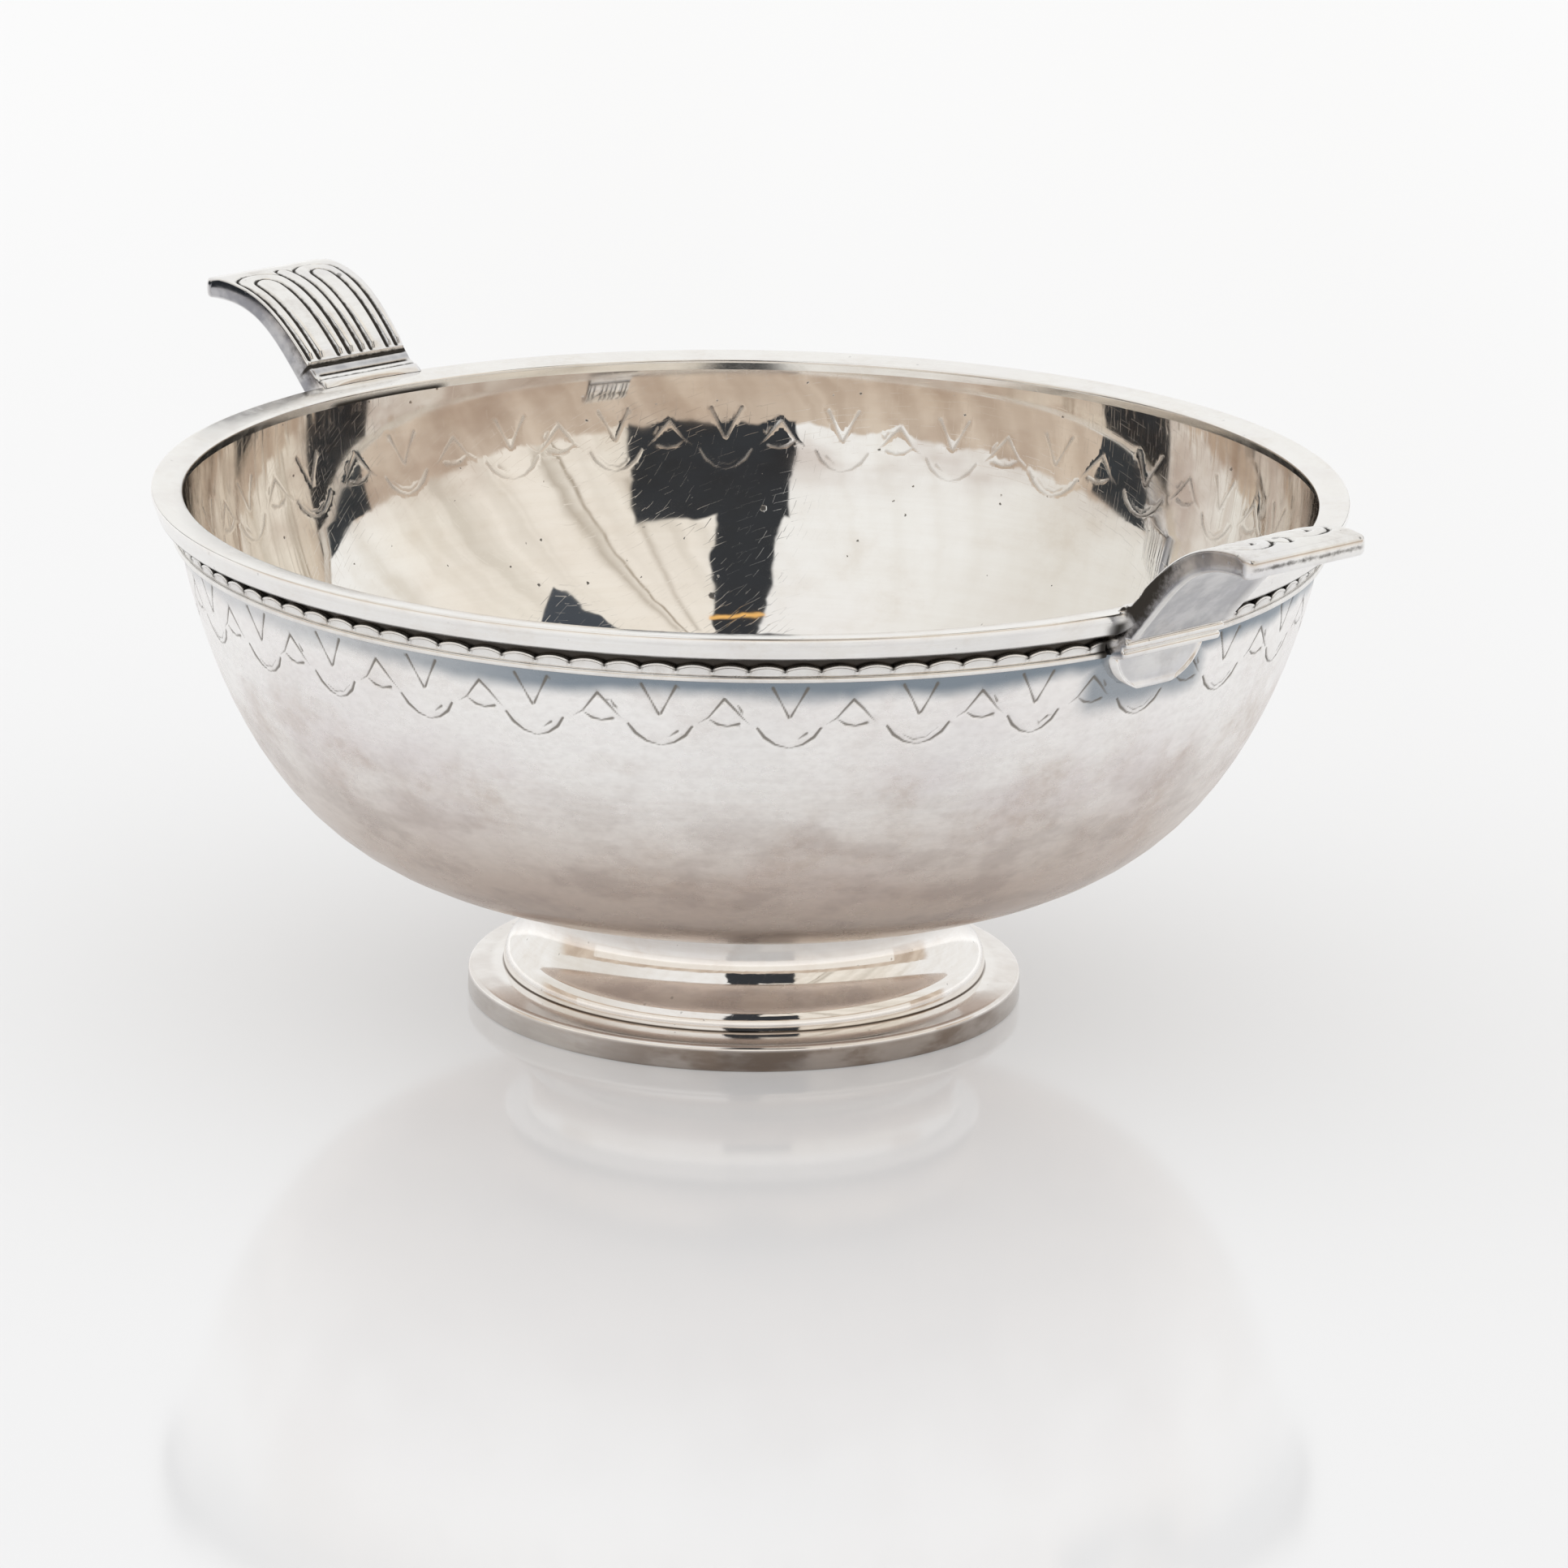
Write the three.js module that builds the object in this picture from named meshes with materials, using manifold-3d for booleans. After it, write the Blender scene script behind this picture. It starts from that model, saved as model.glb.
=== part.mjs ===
// A two-handled silver bowl on a round foot, in millimetres, with +Z up.
// The origin is on the table at the middle of the foot. The handles lie along X.
import * as THREE from "three";
import { mergeVertices } from "three/addons/utils/BufferGeometryUtils.js";
import Module from "manifold-3d";

const wasm = await Module();
wasm.setup();

// Bowl: a raised sheet whose side view is one superellipse quarter
const wallRadius = 96.4; // outer radius of the wall at its lip
const bowlDepth = 66.6; // from the lip's plane down to the outside of the bottom
const bowlFoot = 21.4; // height of that bottom above the table
const sideFullness = 0.414; // below 1 the wall stands up straighter
const bottomFullness = 1.416; // above 1 the bottom is rounder and less flat
const bowlSheet = 1.0;

// Rim moulding on the lip
const rimProud = 3.6; // how far it stands out from the wall
const rimFace = 5.4; // width of its flat top
const rimFall = 0.7; // how far that top drops towards the inside
const rimRise = 0.2; // its top above the lip's plane
const rimDepth = 4.0; // height of its outer face
const rimLean = 1.9; // how far that face leans in on the way down
const rimSeat = 2.1; // depth of its seat on the sheet's edge, below its top
const rimEdge = 0.45; // size of the small flats that break its corners

// Wires under the rim
const plainWireDrop = 3.2; // top of the plain wire below the rim's underside
const plainWireHeight = 1.1;
const wireProud = 1.3; // how far both wires stand out
const waveWireHeight = 0.8;
const waveSwing = 0.74; // from trough to crest
const wavePitch = 5.76;

// Foot: base ring, spun cone and collar
const baseRadius = 46.8;
const baseHeight = 5.2; // height of the flange where the cone stands on it
const baseFall = 0.7; // how far the flange drops towards its edge
const baseWall = 3.2; // width of the ring that rests on the table
const baseEdge = 0.35; // small flats that break the ring's corners
const flangeThickness = 1.4;
const flangeShow = 6.0; // flange outside the cone
const flangeLap = 2.4; // flange under the cone
const shoulderRadius = 4.4; // radius of the cone's round shoulder
const shoulderRise = 0.9; // middle of the shoulder above the cone's lower edge
const neckSweep = 10.6; // radius of the cone's hollow curve
const sweepTurn = 45; // degrees that the hollow curve turns through below the neck
const footSheet = 1.3;
const collarProud = 4.0; // how far the collar stands out from the cone's neck
const collarWidth = 5.6;
const collarHeight = 1.4;

// Handles: cast thumb pieces
const handleWidth = 21.8; // at the rim
const tipWidth = 26.2;
const handleReach = 29.4; // from the rim's edge out to the tip
const handleRise = 15.0; // top of the tip above the rim
const tipThickness = 3.5;
// Bends of the upper and under curves, as shares of the reach and the rise.
// The thickness comes off the under curve's bends later.
const topPulls = [[0.33, 0.72], [0.54, 1.07]];
const underPulls = [[0.5, 1.07], [0.38, 0.63]];
const rootLap = 1.2; // how far the root lies on the rim's top
const rootLift = 0.7; // thickness of the root's thin edge
const reeds = 2; // raised lines across the root
const reedPitch = 1.0;
const reedHeight = 0.4;
const reedLean = 0.6; // place of a reed's crest, as a share of the pitch
const ridges = 2; // raised bands across the apron, under the plate
const ridgeDrop = 4.4; // top of the first ridge below the rim's top
const ridgeHeight = 2.3;
const ridgeProud = 1.1; // how far the first ridge stands out from the rim
const ridgeStep = 0.9; // how much further in the next ridge stands
const ridgeRound = 0.5;
const lobeWidth = 20.8; // round lobe of the apron on the bowl's wall
const lobeDrop = 4.8;
const lobeThickness = 1.5;

const clearance = 0.3; // between soldered neighbours
const turnSteps = 64; // flats round a turned piece
const waveSteps = 4; // steps along one wave of the wavy wire

const lipHeight = bowlFoot + bowlDepth;
const rimTop = lipHeight + rimRise;
const rimRadius = wallRadius + rimProud;

// Helpers for points, solids and meshes
const point = (x, y) => new THREE.Vector2(x, y);
const radians = THREE.MathUtils.degToRad;
const degrees = THREE.MathUtils.radToDeg;

function solidFrom(geometry) {
  const bare = geometry.clone();
  bare.deleteAttribute("normal");
  bare.deleteAttribute("uv");
  const merged = mergeVertices(bare, 1e-3);
  return new wasm.Manifold(
    new wasm.Mesh({
      numProp: 3,
      vertProperties: merged.attributes.position.array,
      triVerts: new Uint32Array(merged.index.array),
    }),
  );
}

function geometryFrom(solid) {
  const mesh = solid.getMesh();
  const geometry = new THREE.BufferGeometry();
  geometry.setAttribute(
    "position",
    new THREE.BufferAttribute(mesh.vertProperties, 3),
  );
  geometry.setIndex(new THREE.BufferAttribute(mesh.triVerts, 1));
  geometry.computeVertexNormals();
  return geometry;
}

// Turns an outline of radius and height about the Z axis. It runs up on the outside and
// down on the inside, and it is closed here unless it starts and ends on the axis.
function turned(outline, steps = turnSteps) {
  const ring = outline[0].x > 0 ? [...outline, outline[0]] : outline;
  return new THREE.LatheGeometry(ring, steps).rotateX(Math.PI / 2);
}

function arc(x, y, radius, fromDegrees, toDegrees, steps) {
  const points = [];
  for (let i = 0; i <= steps; i++) {
    const angle = radians(THREE.MathUtils.lerp(fromDegrees, toDegrees, i / steps));
    points.push(point(x + radius * Math.cos(angle), y + radius * Math.sin(angle)));
  }
  return points;
}

function silver(name, geometry, color, roughness) {
  const material = new THREE.MeshStandardMaterial({
    color,
    roughness,
    metalness: 1,
  });
  const mesh = new THREE.Mesh(geometry, material);
  mesh.name = name;
  return mesh;
}

// The bowl's outer curve. Turn 0 is the lip and turn 1 the middle of the bottom.
// The inset moves the point into the bowl.
function wallPoint(turn, inset = 0) {
  const angle = (turn * Math.PI) / 2;
  const across = Math.cos(angle);
  const down = Math.sin(angle);
  const normal = point(
    bowlDepth * bottomFullness * down ** (bottomFullness - 2) * across,
    -wallRadius * sideFullness * across ** (sideFullness - 2) * down,
  ).normalize();
  return point(
    wallRadius * across ** sideFullness - inset * normal.x,
    lipHeight - bowlDepth * down ** bottomFullness - inset * normal.y,
  );
}

function wallHeightAt(radius) {
  const down = Math.sqrt(1 - (radius / wallRadius) ** (2 / sideFullness));
  return lipHeight - bowlDepth * down ** bottomFullness;
}

function wallRadiusAt(height) {
  const down = ((lipHeight - height) / bowlDepth) ** (1 / bottomFullness);
  return wallRadius * Math.sqrt(1 - down * down) ** sideFullness;
}

function turnAt(height) {
  const down = ((lipHeight - height) / bowlDepth) ** (1 / bottomFullness);
  return (Math.asin(down) * 2) / Math.PI;
}

function bowlBody() {
  const curveSteps = 11;
  const bottomTurn = 0.995; // just short of the axis, where the curve ends
  const lip = turnAt(rimTop - rimSeat - clearance);
  const outside = [];
  for (let i = 0; i <= curveSteps; i++)
    outside.push(THREE.MathUtils.lerp(bottomTurn, lip, i / curveSteps));
  const outline = [
    point(0, bowlFoot),
    ...outside.map((turn) => wallPoint(turn)),
    ...outside.reverse().map((turn) => wallPoint(turn, bowlSheet)),
    point(0, bowlFoot + bowlSheet),
  ];
  return silver("bowl_body", turned(outline), 0xc9c0b8, 0.28);
}

const rimUnderside = rimTop - rimDepth;
const rimInner = rimRadius - rimEdge - rimFace;

function rimOuterFace(grow = 0) {
  return [
    point(rimRadius - rimLean - rimEdge + grow / 2, rimUnderside - grow),
    point(rimRadius - rimLean + grow, rimUnderside + rimEdge - grow / 2),
    point(rimRadius + grow, rimTop - rimEdge + grow / 2),
    point(rimRadius - rimEdge + grow / 2, rimTop + grow),
  ];
}

function rimMoulding() {
  const wall = wallRadiusAt(rimUnderside) + clearance;
  const insideWall = wallPoint(turnAt(rimTop - rimSeat), bowlSheet).x;
  const outline = [
    point(wall, rimUnderside + rimEdge),
    ...rimOuterFace(),
    point(rimInner, rimTop - rimFall),
    point(rimInner - (rimInner - insideWall) / 2, rimTop - rimFall - rimEdge),
    point(insideWall, rimTop - rimSeat),
    point(wall, rimTop - rimSeat),
  ];
  return silver("rim_moulding", turned(outline), 0xdedad4, 0.2);
}

const plainWireTop = rimUnderside - plainWireDrop;
const wireInner = wallRadiusAt(plainWireTop + waveSwing) + clearance;
const wireOuter = wireInner + wireProud;

// A ring under the rim, cut where the handles stand, as its front and back lengths
function wirePair(name, ring, color) {
  const span = 3 * rimRadius;
  return [-1, 1].map((side) => {
    const keep = new THREE.BoxGeometry(span, span, span);
    const start = handleWidth / 2 + clearance;
    keep.translate(0, side * (start + span / 2), rimTop);
    const length = solidFrom(ring).intersect(solidFrom(keep));
    const place = side < 0 ? "front" : "back";
    return silver(`${name}_${place}`, geometryFrom(length), color, 0.3);
  });
}

function plainWires() {
  const low = plainWireTop - plainWireHeight;
  const edge = plainWireHeight / 4;
  const ring = turned([
    point(wallRadiusAt(low) + clearance, low),
    point(wireOuter - edge, low),
    point(wireOuter, low + edge),
    point(wireOuter, plainWireTop - edge),
    point(wireOuter - edge, plainWireTop),
    point(wallRadiusAt(plainWireTop) + clearance, plainWireTop),
  ]);
  return wirePair("plain_wire", ring, 0xd2ccc4);
}

function waveWires() {
  const waves = Math.round((2 * Math.PI * wireOuter) / wavePitch);
  const low = plainWireTop + clearance;
  const ring = turned(
    [
      point(wireInner, low),
      point(wireOuter, low),
      point(wireOuter, low + waveWireHeight),
      point(wireInner, low + waveWireHeight),
    ],
    waves * waveSteps,
  );
  const places = ring.attributes.position;
  for (let i = 0; i < places.count; i++) {
    const angle = Math.atan2(places.getY(i), places.getX(i));
    const lift = (waveSwing / 2) * (1 + Math.cos(waves * angle));
    places.setZ(i, places.getZ(i) + lift);
  }
  return wirePair("wave_wire", ring, 0xb9b3aa);
}

// The cone's two arcs meet where the hollow curve has turned through sweepTurn
const coneRadius = baseRadius - flangeShow;
const coneBottom = baseHeight + clearance;
const shoulderX = coneRadius - shoulderRadius;
const shoulderY = coneBottom + shoulderRise;
const sweepReach = neckSweep + shoulderRadius;
const sweepX = shoulderX + sweepReach * Math.cos(radians(sweepTurn));
const neckHeight = shoulderY + sweepReach * Math.sin(radians(sweepTurn));
const collarRadius = sweepX - neckSweep + collarProud;
const collarInner = collarRadius - collarWidth;
const collarTop = wallHeightAt(collarInner) - clearance;
const collarBottom = collarTop - collarHeight;

function footCollar() {
  const bead = collarHeight / 2;
  const outline = [
    point(collarInner, collarBottom),
    ...arc(collarRadius - bead, collarBottom + bead, bead, -90, 90, 4),
    point(collarInner, collarTop),
  ];
  return silver("foot_collar", turned(outline), 0xd8d2ca, 0.18);
}

function footCone() {
  const rise = collarBottom - clearance - neckHeight;
  const topAngle = (radius) => 180 - degrees(Math.asin(rise / radius));
  const endAngle = (radius) => -degrees(Math.asin(shoulderRise / radius));
  const join = 180 + sweepTurn;
  const sweepIn = neckSweep + footSheet;
  const shoulderIn = shoulderRadius - footSheet;
  const outline = [
    ...arc(shoulderX, shoulderY, shoulderRadius, endAngle(shoulderRadius), sweepTurn, 4),
    ...arc(sweepX, neckHeight, neckSweep, join, topAngle(neckSweep), 7).slice(1),
    ...arc(sweepX, neckHeight, sweepIn, topAngle(sweepIn), join, 5),
    ...arc(shoulderX, shoulderY, shoulderIn, sweepTurn, endAngle(shoulderIn), 2).slice(1),
  ];
  return silver("foot_cone", turned(outline), 0xe2ddd6, 0.14);
}

function footBaseRing() {
  const edgeHeight = baseHeight - baseFall;
  const under = edgeHeight - flangeThickness;
  const inner = coneRadius - flangeLap;
  const outline = [
    point(baseRadius - baseWall, 0),
    point(baseRadius - baseEdge, 0),
    point(baseRadius, baseEdge),
    point(baseRadius, edgeHeight - baseEdge),
    point(baseRadius - baseEdge, edgeHeight),
    point(inner + baseEdge, baseHeight),
    point(inner, baseHeight - baseEdge),
    point(inner, under),
    point(baseRadius - baseWall, under),
  ];
  return silver("foot_base_ring", turned(outline), 0xd9d2c9, 0.2);
}

const lobeTop = rimTop - ridgeDrop - ridges * ridgeHeight;
const lobeBottom = lobeTop - lobeDrop;

// The handle's outline from the side: x is the distance from the bowl's axis and y the height.
// Its inner side runs inside the wall and is cut back to it later.
function handleSide() {
  const root = rimRadius - rootLap;
  const tip = rimRadius + handleReach;
  const tipTop = rimTop + handleRise;
  const inside = wallRadiusAt(lobeBottom) - handleReach / 4;
  const pull = ([out, up], drop) => [
    rimRadius + out * handleReach,
    rimTop + up * handleRise - drop,
  ];
  const shape = new THREE.Shape();
  shape.moveTo(inside, rimTop - rimEdge);
  shape.lineTo(root, rimTop - rimEdge);
  shape.lineTo(root, rimTop + rootLift);
  for (let reed = 0; reed < reeds; reed++) {
    const low = rimTop + rootLift + reed * reedHeight;
    shape.lineTo(root + (reed + reedLean) * reedPitch, low + reedHeight);
    shape.lineTo(root + (reed + 1) * reedPitch, low + reedHeight / 2);
  }
  shape.bezierCurveTo(...pull(topPulls[0], 0), ...pull(topPulls[1], 0), tip, tipTop);
  shape.lineTo(tip, tipTop - tipThickness);
  shape.bezierCurveTo(
    ...pull(underPulls[0], tipThickness),
    ...pull(underPulls[1], tipThickness),
    rimRadius + ridgeProud + ridgeRound,
    rimTop - ridgeDrop,
  );
  for (let ridge = 0; ridge < ridges; ridge++) {
    const out = rimRadius + ridgeProud - ridge * ridgeStep;
    const top = rimTop - ridgeDrop - ridge * ridgeHeight;
    shape.lineTo(out - ridgeRound, top);
    shape.quadraticCurveTo(
      ...[out + ridgeRound, top - ridgeHeight / 2],
      ...[out - ridgeRound, top - ridgeHeight],
    );
  }
  shape.lineTo(wallRadiusAt(lobeTop) + clearance + lobeThickness, lobeTop - ridgeRound);
  shape.lineTo(wallRadiusAt(lobeBottom) + clearance + lobeThickness / 2, lobeBottom);
  shape.lineTo(inside, lobeBottom);
  return shape;
}

// The handle's outline seen along X: open above, with the round lobe below
function handleFront() {
  const shape = new THREE.Shape();
  shape.moveTo(tipWidth, rimTop + 2 * handleRise);
  shape.lineTo(-tipWidth, rimTop + 2 * handleRise);
  shape.lineTo(-tipWidth, lobeTop);
  shape.lineTo(-lobeWidth / 2, lobeTop);
  shape.absellipse(0, lobeTop, lobeWidth / 2, lobeDrop, Math.PI, 2 * Math.PI);
  shape.lineTo(tipWidth, lobeTop);
  return shape;
}

// Everything that the handle sits against, grown by the clearance
function handleSeat() {
  const steps = 6;
  const bottom = lobeBottom - lobeDrop;
  const top = rimUnderside - clearance;
  const outline = [point(0, bottom)];
  for (let step = 0; step <= steps; step++) {
    const height = THREE.MathUtils.lerp(bottom, top, step / steps);
    outline.push(point(wallRadiusAt(height) + clearance, height));
  }
  outline.push(...rimOuterFace(clearance), point(0, rimTop + clearance));
  return solidFrom(turned(outline));
}

function handleGeometry() {
  const side = new THREE.ExtrudeGeometry(handleSide(), {
    depth: handleWidth,
    bevelEnabled: false,
    curveSegments: 9,
  });
  side.rotateX(Math.PI / 2).translate(0, handleWidth / 2, 0);
  const places = side.attributes.position;
  for (let i = 0; i < places.count; i++) {
    const out = Math.max(places.getX(i) - rimRadius, 0) / handleReach;
    places.setY(i, places.getY(i) * (1 + out * (tipWidth / handleWidth - 1)));
  }
  const front = new THREE.ExtrudeGeometry(handleFront(), {
    depth: 2 * rimRadius,
    bevelEnabled: false,
    curveSegments: 12,
  });
  const alongX = new THREE.Matrix4().makeBasis(
    new THREE.Vector3(0, 1, 0),
    new THREE.Vector3(0, 0, 1),
    new THREE.Vector3(1, 0, 0),
  );
  front.applyMatrix4(alongX);
  return geometryFrom(
    solidFrom(side).intersect(solidFrom(front)).subtract(handleSeat()),
  );
}

function handles() {
  const geometry = handleGeometry();
  return ["right", "left"].map((name, i) => {
    const handle = silver(`handle_${name}`, geometry, 0xc4bdb4, 0.3);
    handle.rotation.z = i * Math.PI;
    return handle;
  });
}

const bowl = new THREE.Group();
bowl.add(
  bowlBody(),
  rimMoulding(),
  ...plainWires(),
  ...waveWires(),
  ...handles(),
);
bowl.add(footCollar(), footCone(), footBaseRing());

export default bowl;
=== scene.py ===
"""Looks of the two-handled silver bowl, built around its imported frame.

Everything is in metres with +Z up. The bowl's axis is Z and its handles lie along X.
"""

import math
import random

import bmesh
import bpy
import numpy as np
from bpy.props import FloatProperty, FloatVectorProperty, IntProperty, PointerProperty
from mathutils import Matrix, Vector


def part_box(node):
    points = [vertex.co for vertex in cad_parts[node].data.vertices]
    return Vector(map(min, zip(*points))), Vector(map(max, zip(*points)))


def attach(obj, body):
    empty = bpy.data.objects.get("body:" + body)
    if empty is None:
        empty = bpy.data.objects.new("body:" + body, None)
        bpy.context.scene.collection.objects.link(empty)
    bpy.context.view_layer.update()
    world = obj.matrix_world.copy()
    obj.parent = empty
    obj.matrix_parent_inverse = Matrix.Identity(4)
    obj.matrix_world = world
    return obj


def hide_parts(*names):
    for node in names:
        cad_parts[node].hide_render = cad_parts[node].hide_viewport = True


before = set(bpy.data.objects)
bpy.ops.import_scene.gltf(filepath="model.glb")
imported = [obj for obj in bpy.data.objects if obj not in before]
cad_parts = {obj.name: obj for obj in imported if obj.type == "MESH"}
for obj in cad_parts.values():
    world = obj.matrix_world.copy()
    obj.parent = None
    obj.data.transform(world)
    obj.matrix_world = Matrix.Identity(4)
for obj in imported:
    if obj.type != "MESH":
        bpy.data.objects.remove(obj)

bl_info = {
    "name": "Two-handled silver bowl",
    "version": (1, 0, 0),
    "blender": (4, 5, 0),
    "location": "View3D > Sidebar > Silver bowl",
    "description": "Builds the looks of a footed silver bowl around its packed frame",
    "category": "Object",
}

MM = 0.001
SAME_PLACE = 2e-6
FULL_TURN = 2 * math.pi
UPRIGHT = {"cent": (0.0, 0.0, 0.0), "axis": (0.0, 0.0, 1.0), "dvec": (0.0, 0.0, 0.0)}


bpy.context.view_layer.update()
RIM_LOW, RIM_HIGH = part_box("rim_moulding")
BOWL_LOW, BOWL_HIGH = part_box("bowl_body")
COLLAR_LOW, COLLAR_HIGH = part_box("foot_collar")
PLAIN_LOW, PLAIN_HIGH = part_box("plain_wire_back")
CONE_HIGH, BASE_HIGH, WAVE_HIGH, HANDLE_HIGH = (
    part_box(node)[1] for node in ("foot_cone", "foot_base_ring", "wave_wire_back", "handle_right")
)


def number(name, description, default, **kind):
    return FloatProperty(name=name, description=description, default=default, **kind)


def length(name, description, default):
    return number(name, description, default, subtype="DISTANCE", unit="LENGTH", precision=5)


def angle(name, description, degrees):
    return number(name, description, math.radians(degrees), subtype="ANGLE", unit="ROTATION")


def share(name, description, default):
    return number(name, description, default, min=0.0, subtype="FACTOR")


def count(name, description, default):
    return IntProperty(name=name, description=description, default=default, min=1)


def colour(name, description, default):
    limits = {"size": 3, "min": 0.0, "max": 1.0}
    return FloatVectorProperty(
        name=name, description=description, default=default, subtype="COLOR", **limits
    )


class BowlShape(bpy.types.PropertyGroup):
    """Sizes of the raised bowl"""

    wall_radius: length("Wall radius", "Outer radius of the wall at its lip", 0.0964)
    depth: length("Depth", "From the lip's plane down to the outside of the bottom", 0.0666)
    side_fullness: number("Side fullness", "Below 1 the wall stands up straighter", 0.414)
    bottom_fullness: number("Bottom fullness", "Above 1 the bottom is rounder", 1.416)
    sheet: length("Sheet", "Thickness of the silver", 0.001)


class BorderShape(bpy.types.PropertyGroup):
    """The chased border round the upper wall"""

    repeats: count("Repeats", "Times that the pattern runs round the bowl", 29)
    first: angle("First point", "Direction of one of the pattern's V marks", -50.95)
    groove_width: length("Groove width", "Width of a full cut", 0.00026)
    groove_depth: length("Groove depth", "Depth of a full cut outside", 0.00022)
    raised: length("Raised height", "How far the cuts stand out inside", 0.000035)
    drift: angle("Drift", "How far the marks run ahead on the far side", 4.85)
    pull: angle("Pull", "How far more they run ahead at one place", 4.4)
    pull_at: angle("Pull at", "Direction of that place", -164.5)
    pull_width: angle("Pull width", "Its width", 23)
    uneven: angle("Unevenness", "How far the hand-set spacing wanders", 0.35)


class RimShape(bpy.types.PropertyGroup):
    """Sizes of the rim moulding and the wires under it"""

    face: length("Face", "Width of the rim's flat top", 0.0054)
    fall: length("Fall", "How far that top drops towards the inside", 0.0007)
    lean: length("Lean", "How far the outer face leans in on the way down", 0.0011)
    cove: length("Cove", "Height of the hollow curve under the rim's inner edge", 0.0019)
    wave_swing: length("Wave swing", "Height of the wavy wire's humps", 0.00072)
    waves: count("Waves", "Humps of the wavy wire round the bowl", 106)


class FootShape(bpy.types.PropertyGroup):
    """Sizes of the foot"""

    base_fall: length("Base fall", "How far the flange drops towards its edge", 0.0007)
    base_wall: length("Base wall", "Width of the ring that rests on the table", 0.0032)
    flange: length("Flange", "Thickness of the flange", 0.0014)
    flange_lap: length("Flange lap", "Flange under the cone", 0.0024)
    shoulder: length("Shoulder", "Radius of the cone's round shoulder", 0.0044)
    shoulder_rise: length("Shoulder rise", "Middle of the shoulder above its edge", 0.0009)
    neck_sweep: length("Neck sweep", "Radius of the cone's hollow curve", 0.0106)
    sweep_turn: angle("Sweep turn", "Turn of the hollow curve below the neck", 45)
    sheet: length("Foot sheet", "Thickness of the spun cone", 0.0013)
    collar_width: length("Collar width", "Width of the collar under the bowl", 0.0056)


class HandleShape(bpy.types.PropertyGroup):
    """Sizes of the cast handles"""

    width: length("Width", "Width at the rim", 0.0218)
    tip_width: length("Tip width", "Width at the tip", 0.0262)
    crown: length("Crown", "Rise of the plate's hump above its tip", 0.0004)
    thickness: length("Thickness", "Thickness of the plate at its tip", 0.0035)
    lobe_width: length("Lobe width", "Width of the round lobe on the wall", 0.0208)
    lobe_drop: length("Lobe drop", "Height of the lobe", 0.0070)
    corner: length("Corner", "Roundness of the tip's corners seen from above", 0.0014)
    rounding: length("Rounding", "Roundness of the casting's edges", 0.0006)
    groove_depth: length("Groove depth", "Depth of the loops cut in the plate", 0.00042)


class SilverFinish(bpy.types.PropertyGroup):
    """Colours of the silver where it is clean, and of its toning and painted shade"""

    outside: colour("Outside", "Clean silver outside the bowl", (0.99, 0.97, 0.945))
    inside: colour("Inside", "Clean silver inside the bowl", (0.93, 0.915, 0.885))
    rim: colour("Rim", "Clean silver of the rim", (0.95, 0.94, 0.92))
    wires: colour("Wires", "Clean silver of the wires", (0.90, 0.885, 0.86))
    handles: colour("Handles", "Clean silver of the handles", (0.93, 0.92, 0.90))
    foot: colour("Foot", "Clean silver of the foot", (0.92, 0.90, 0.875))
    # Brown: partly toning, partly painted shade of the lower wall
    lower_wall_toning_and_shade: colour("Brown", "Toning of the lower wall", (0.58, 0.465, 0.385))
    # Blue: partly toning, partly painted shade under the wires and round the handles' lobes
    blue: colour("Blue", "Toning under the wires", (0.22, 0.265, 0.31))
    # Black: toning in the hollows, and painted shade under the rim, in the wires and beside the
    # handles
    black: colour("Black", "Toning in the hollows", (0.06, 0.055, 0.05))
    pits: colour("Pits", "Dirt in the pits", (0.05, 0.045, 0.04))


class StudioShape(bpy.types.PropertyGroup):
    """The camera, floor and light"""

    camera_turn: angle("Camera turn", "Direction of the camera round the bowl", 47.5)
    camera_rise: angle("Camera rise", "Height of the camera above the table", 17.27)
    camera_distance: length("Camera distance", "From the middle of the foot", 1.4539)
    camera_lens: number("Lens", "Lens length in millimetres", 196.4)
    yaw: angle("Yaw", "Turn of the camera away from the axis", 0.26)
    pitch: angle("Pitch", "Tilt of the camera below level", 15.899)
    roll: angle("Roll", "Roll of the camera", 0.902)
    floor: colour("Floor", "Colour of the table", (0.63, 0.63, 0.635))
    floor_glow: share("Floor glow", "How far the table's shade is lightened", 0.222)
    hem_far: length("Hem distance", "From the bowl's axis to the cloth's hem", 0.55)
    hem_rise: length("Hem height", "Height of the hem above the table", 0.078)
    hem_reach: angle("Hem reach", "How far the hem runs to each side", 82)
    backdrop: colour("Backdrop", "Colour behind the table", (0.92, 0.92, 0.92))
    room: colour("Room", "Colour of the room's light", (1.0, 1.0, 1.0))


class SilverBowl(bpy.types.PropertyGroup):
    """All the sizes and colours of the bowl"""

    bowl: PointerProperty(type=BowlShape)
    border: PointerProperty(type=BorderShape)
    rim: PointerProperty(type=RimShape)
    foot: PointerProperty(type=FootShape)
    handle: PointerProperty(type=HandleShape)
    finish: PointerProperty(type=SilverFinish)
    studio: PointerProperty(type=StudioShape)


def values():
    return bpy.context.scene.silver_bowl


# Chains of points, and the bowl's side view as the source of the solids has it


def travelled(points):
    """Distance along a chain to each of its points."""
    steps = np.linalg.norm(np.diff(points, axis=0), axis=1)
    return np.concatenate([[0.0], np.cumsum(steps)])


def picked(points, at):
    """Places on a chain at some distances along it."""
    travel = travelled(points)
    return [tuple(float(np.interp(t, travel, points[:, k])) for k in (0, 1)) for t in at]


def even(points, step):
    """Even steps along a chain of points."""
    points = np.array(points)
    total = travelled(points)[-1]
    return picked(points, np.linspace(0.0, total, max(2, round(total / step) + 1)))


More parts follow.
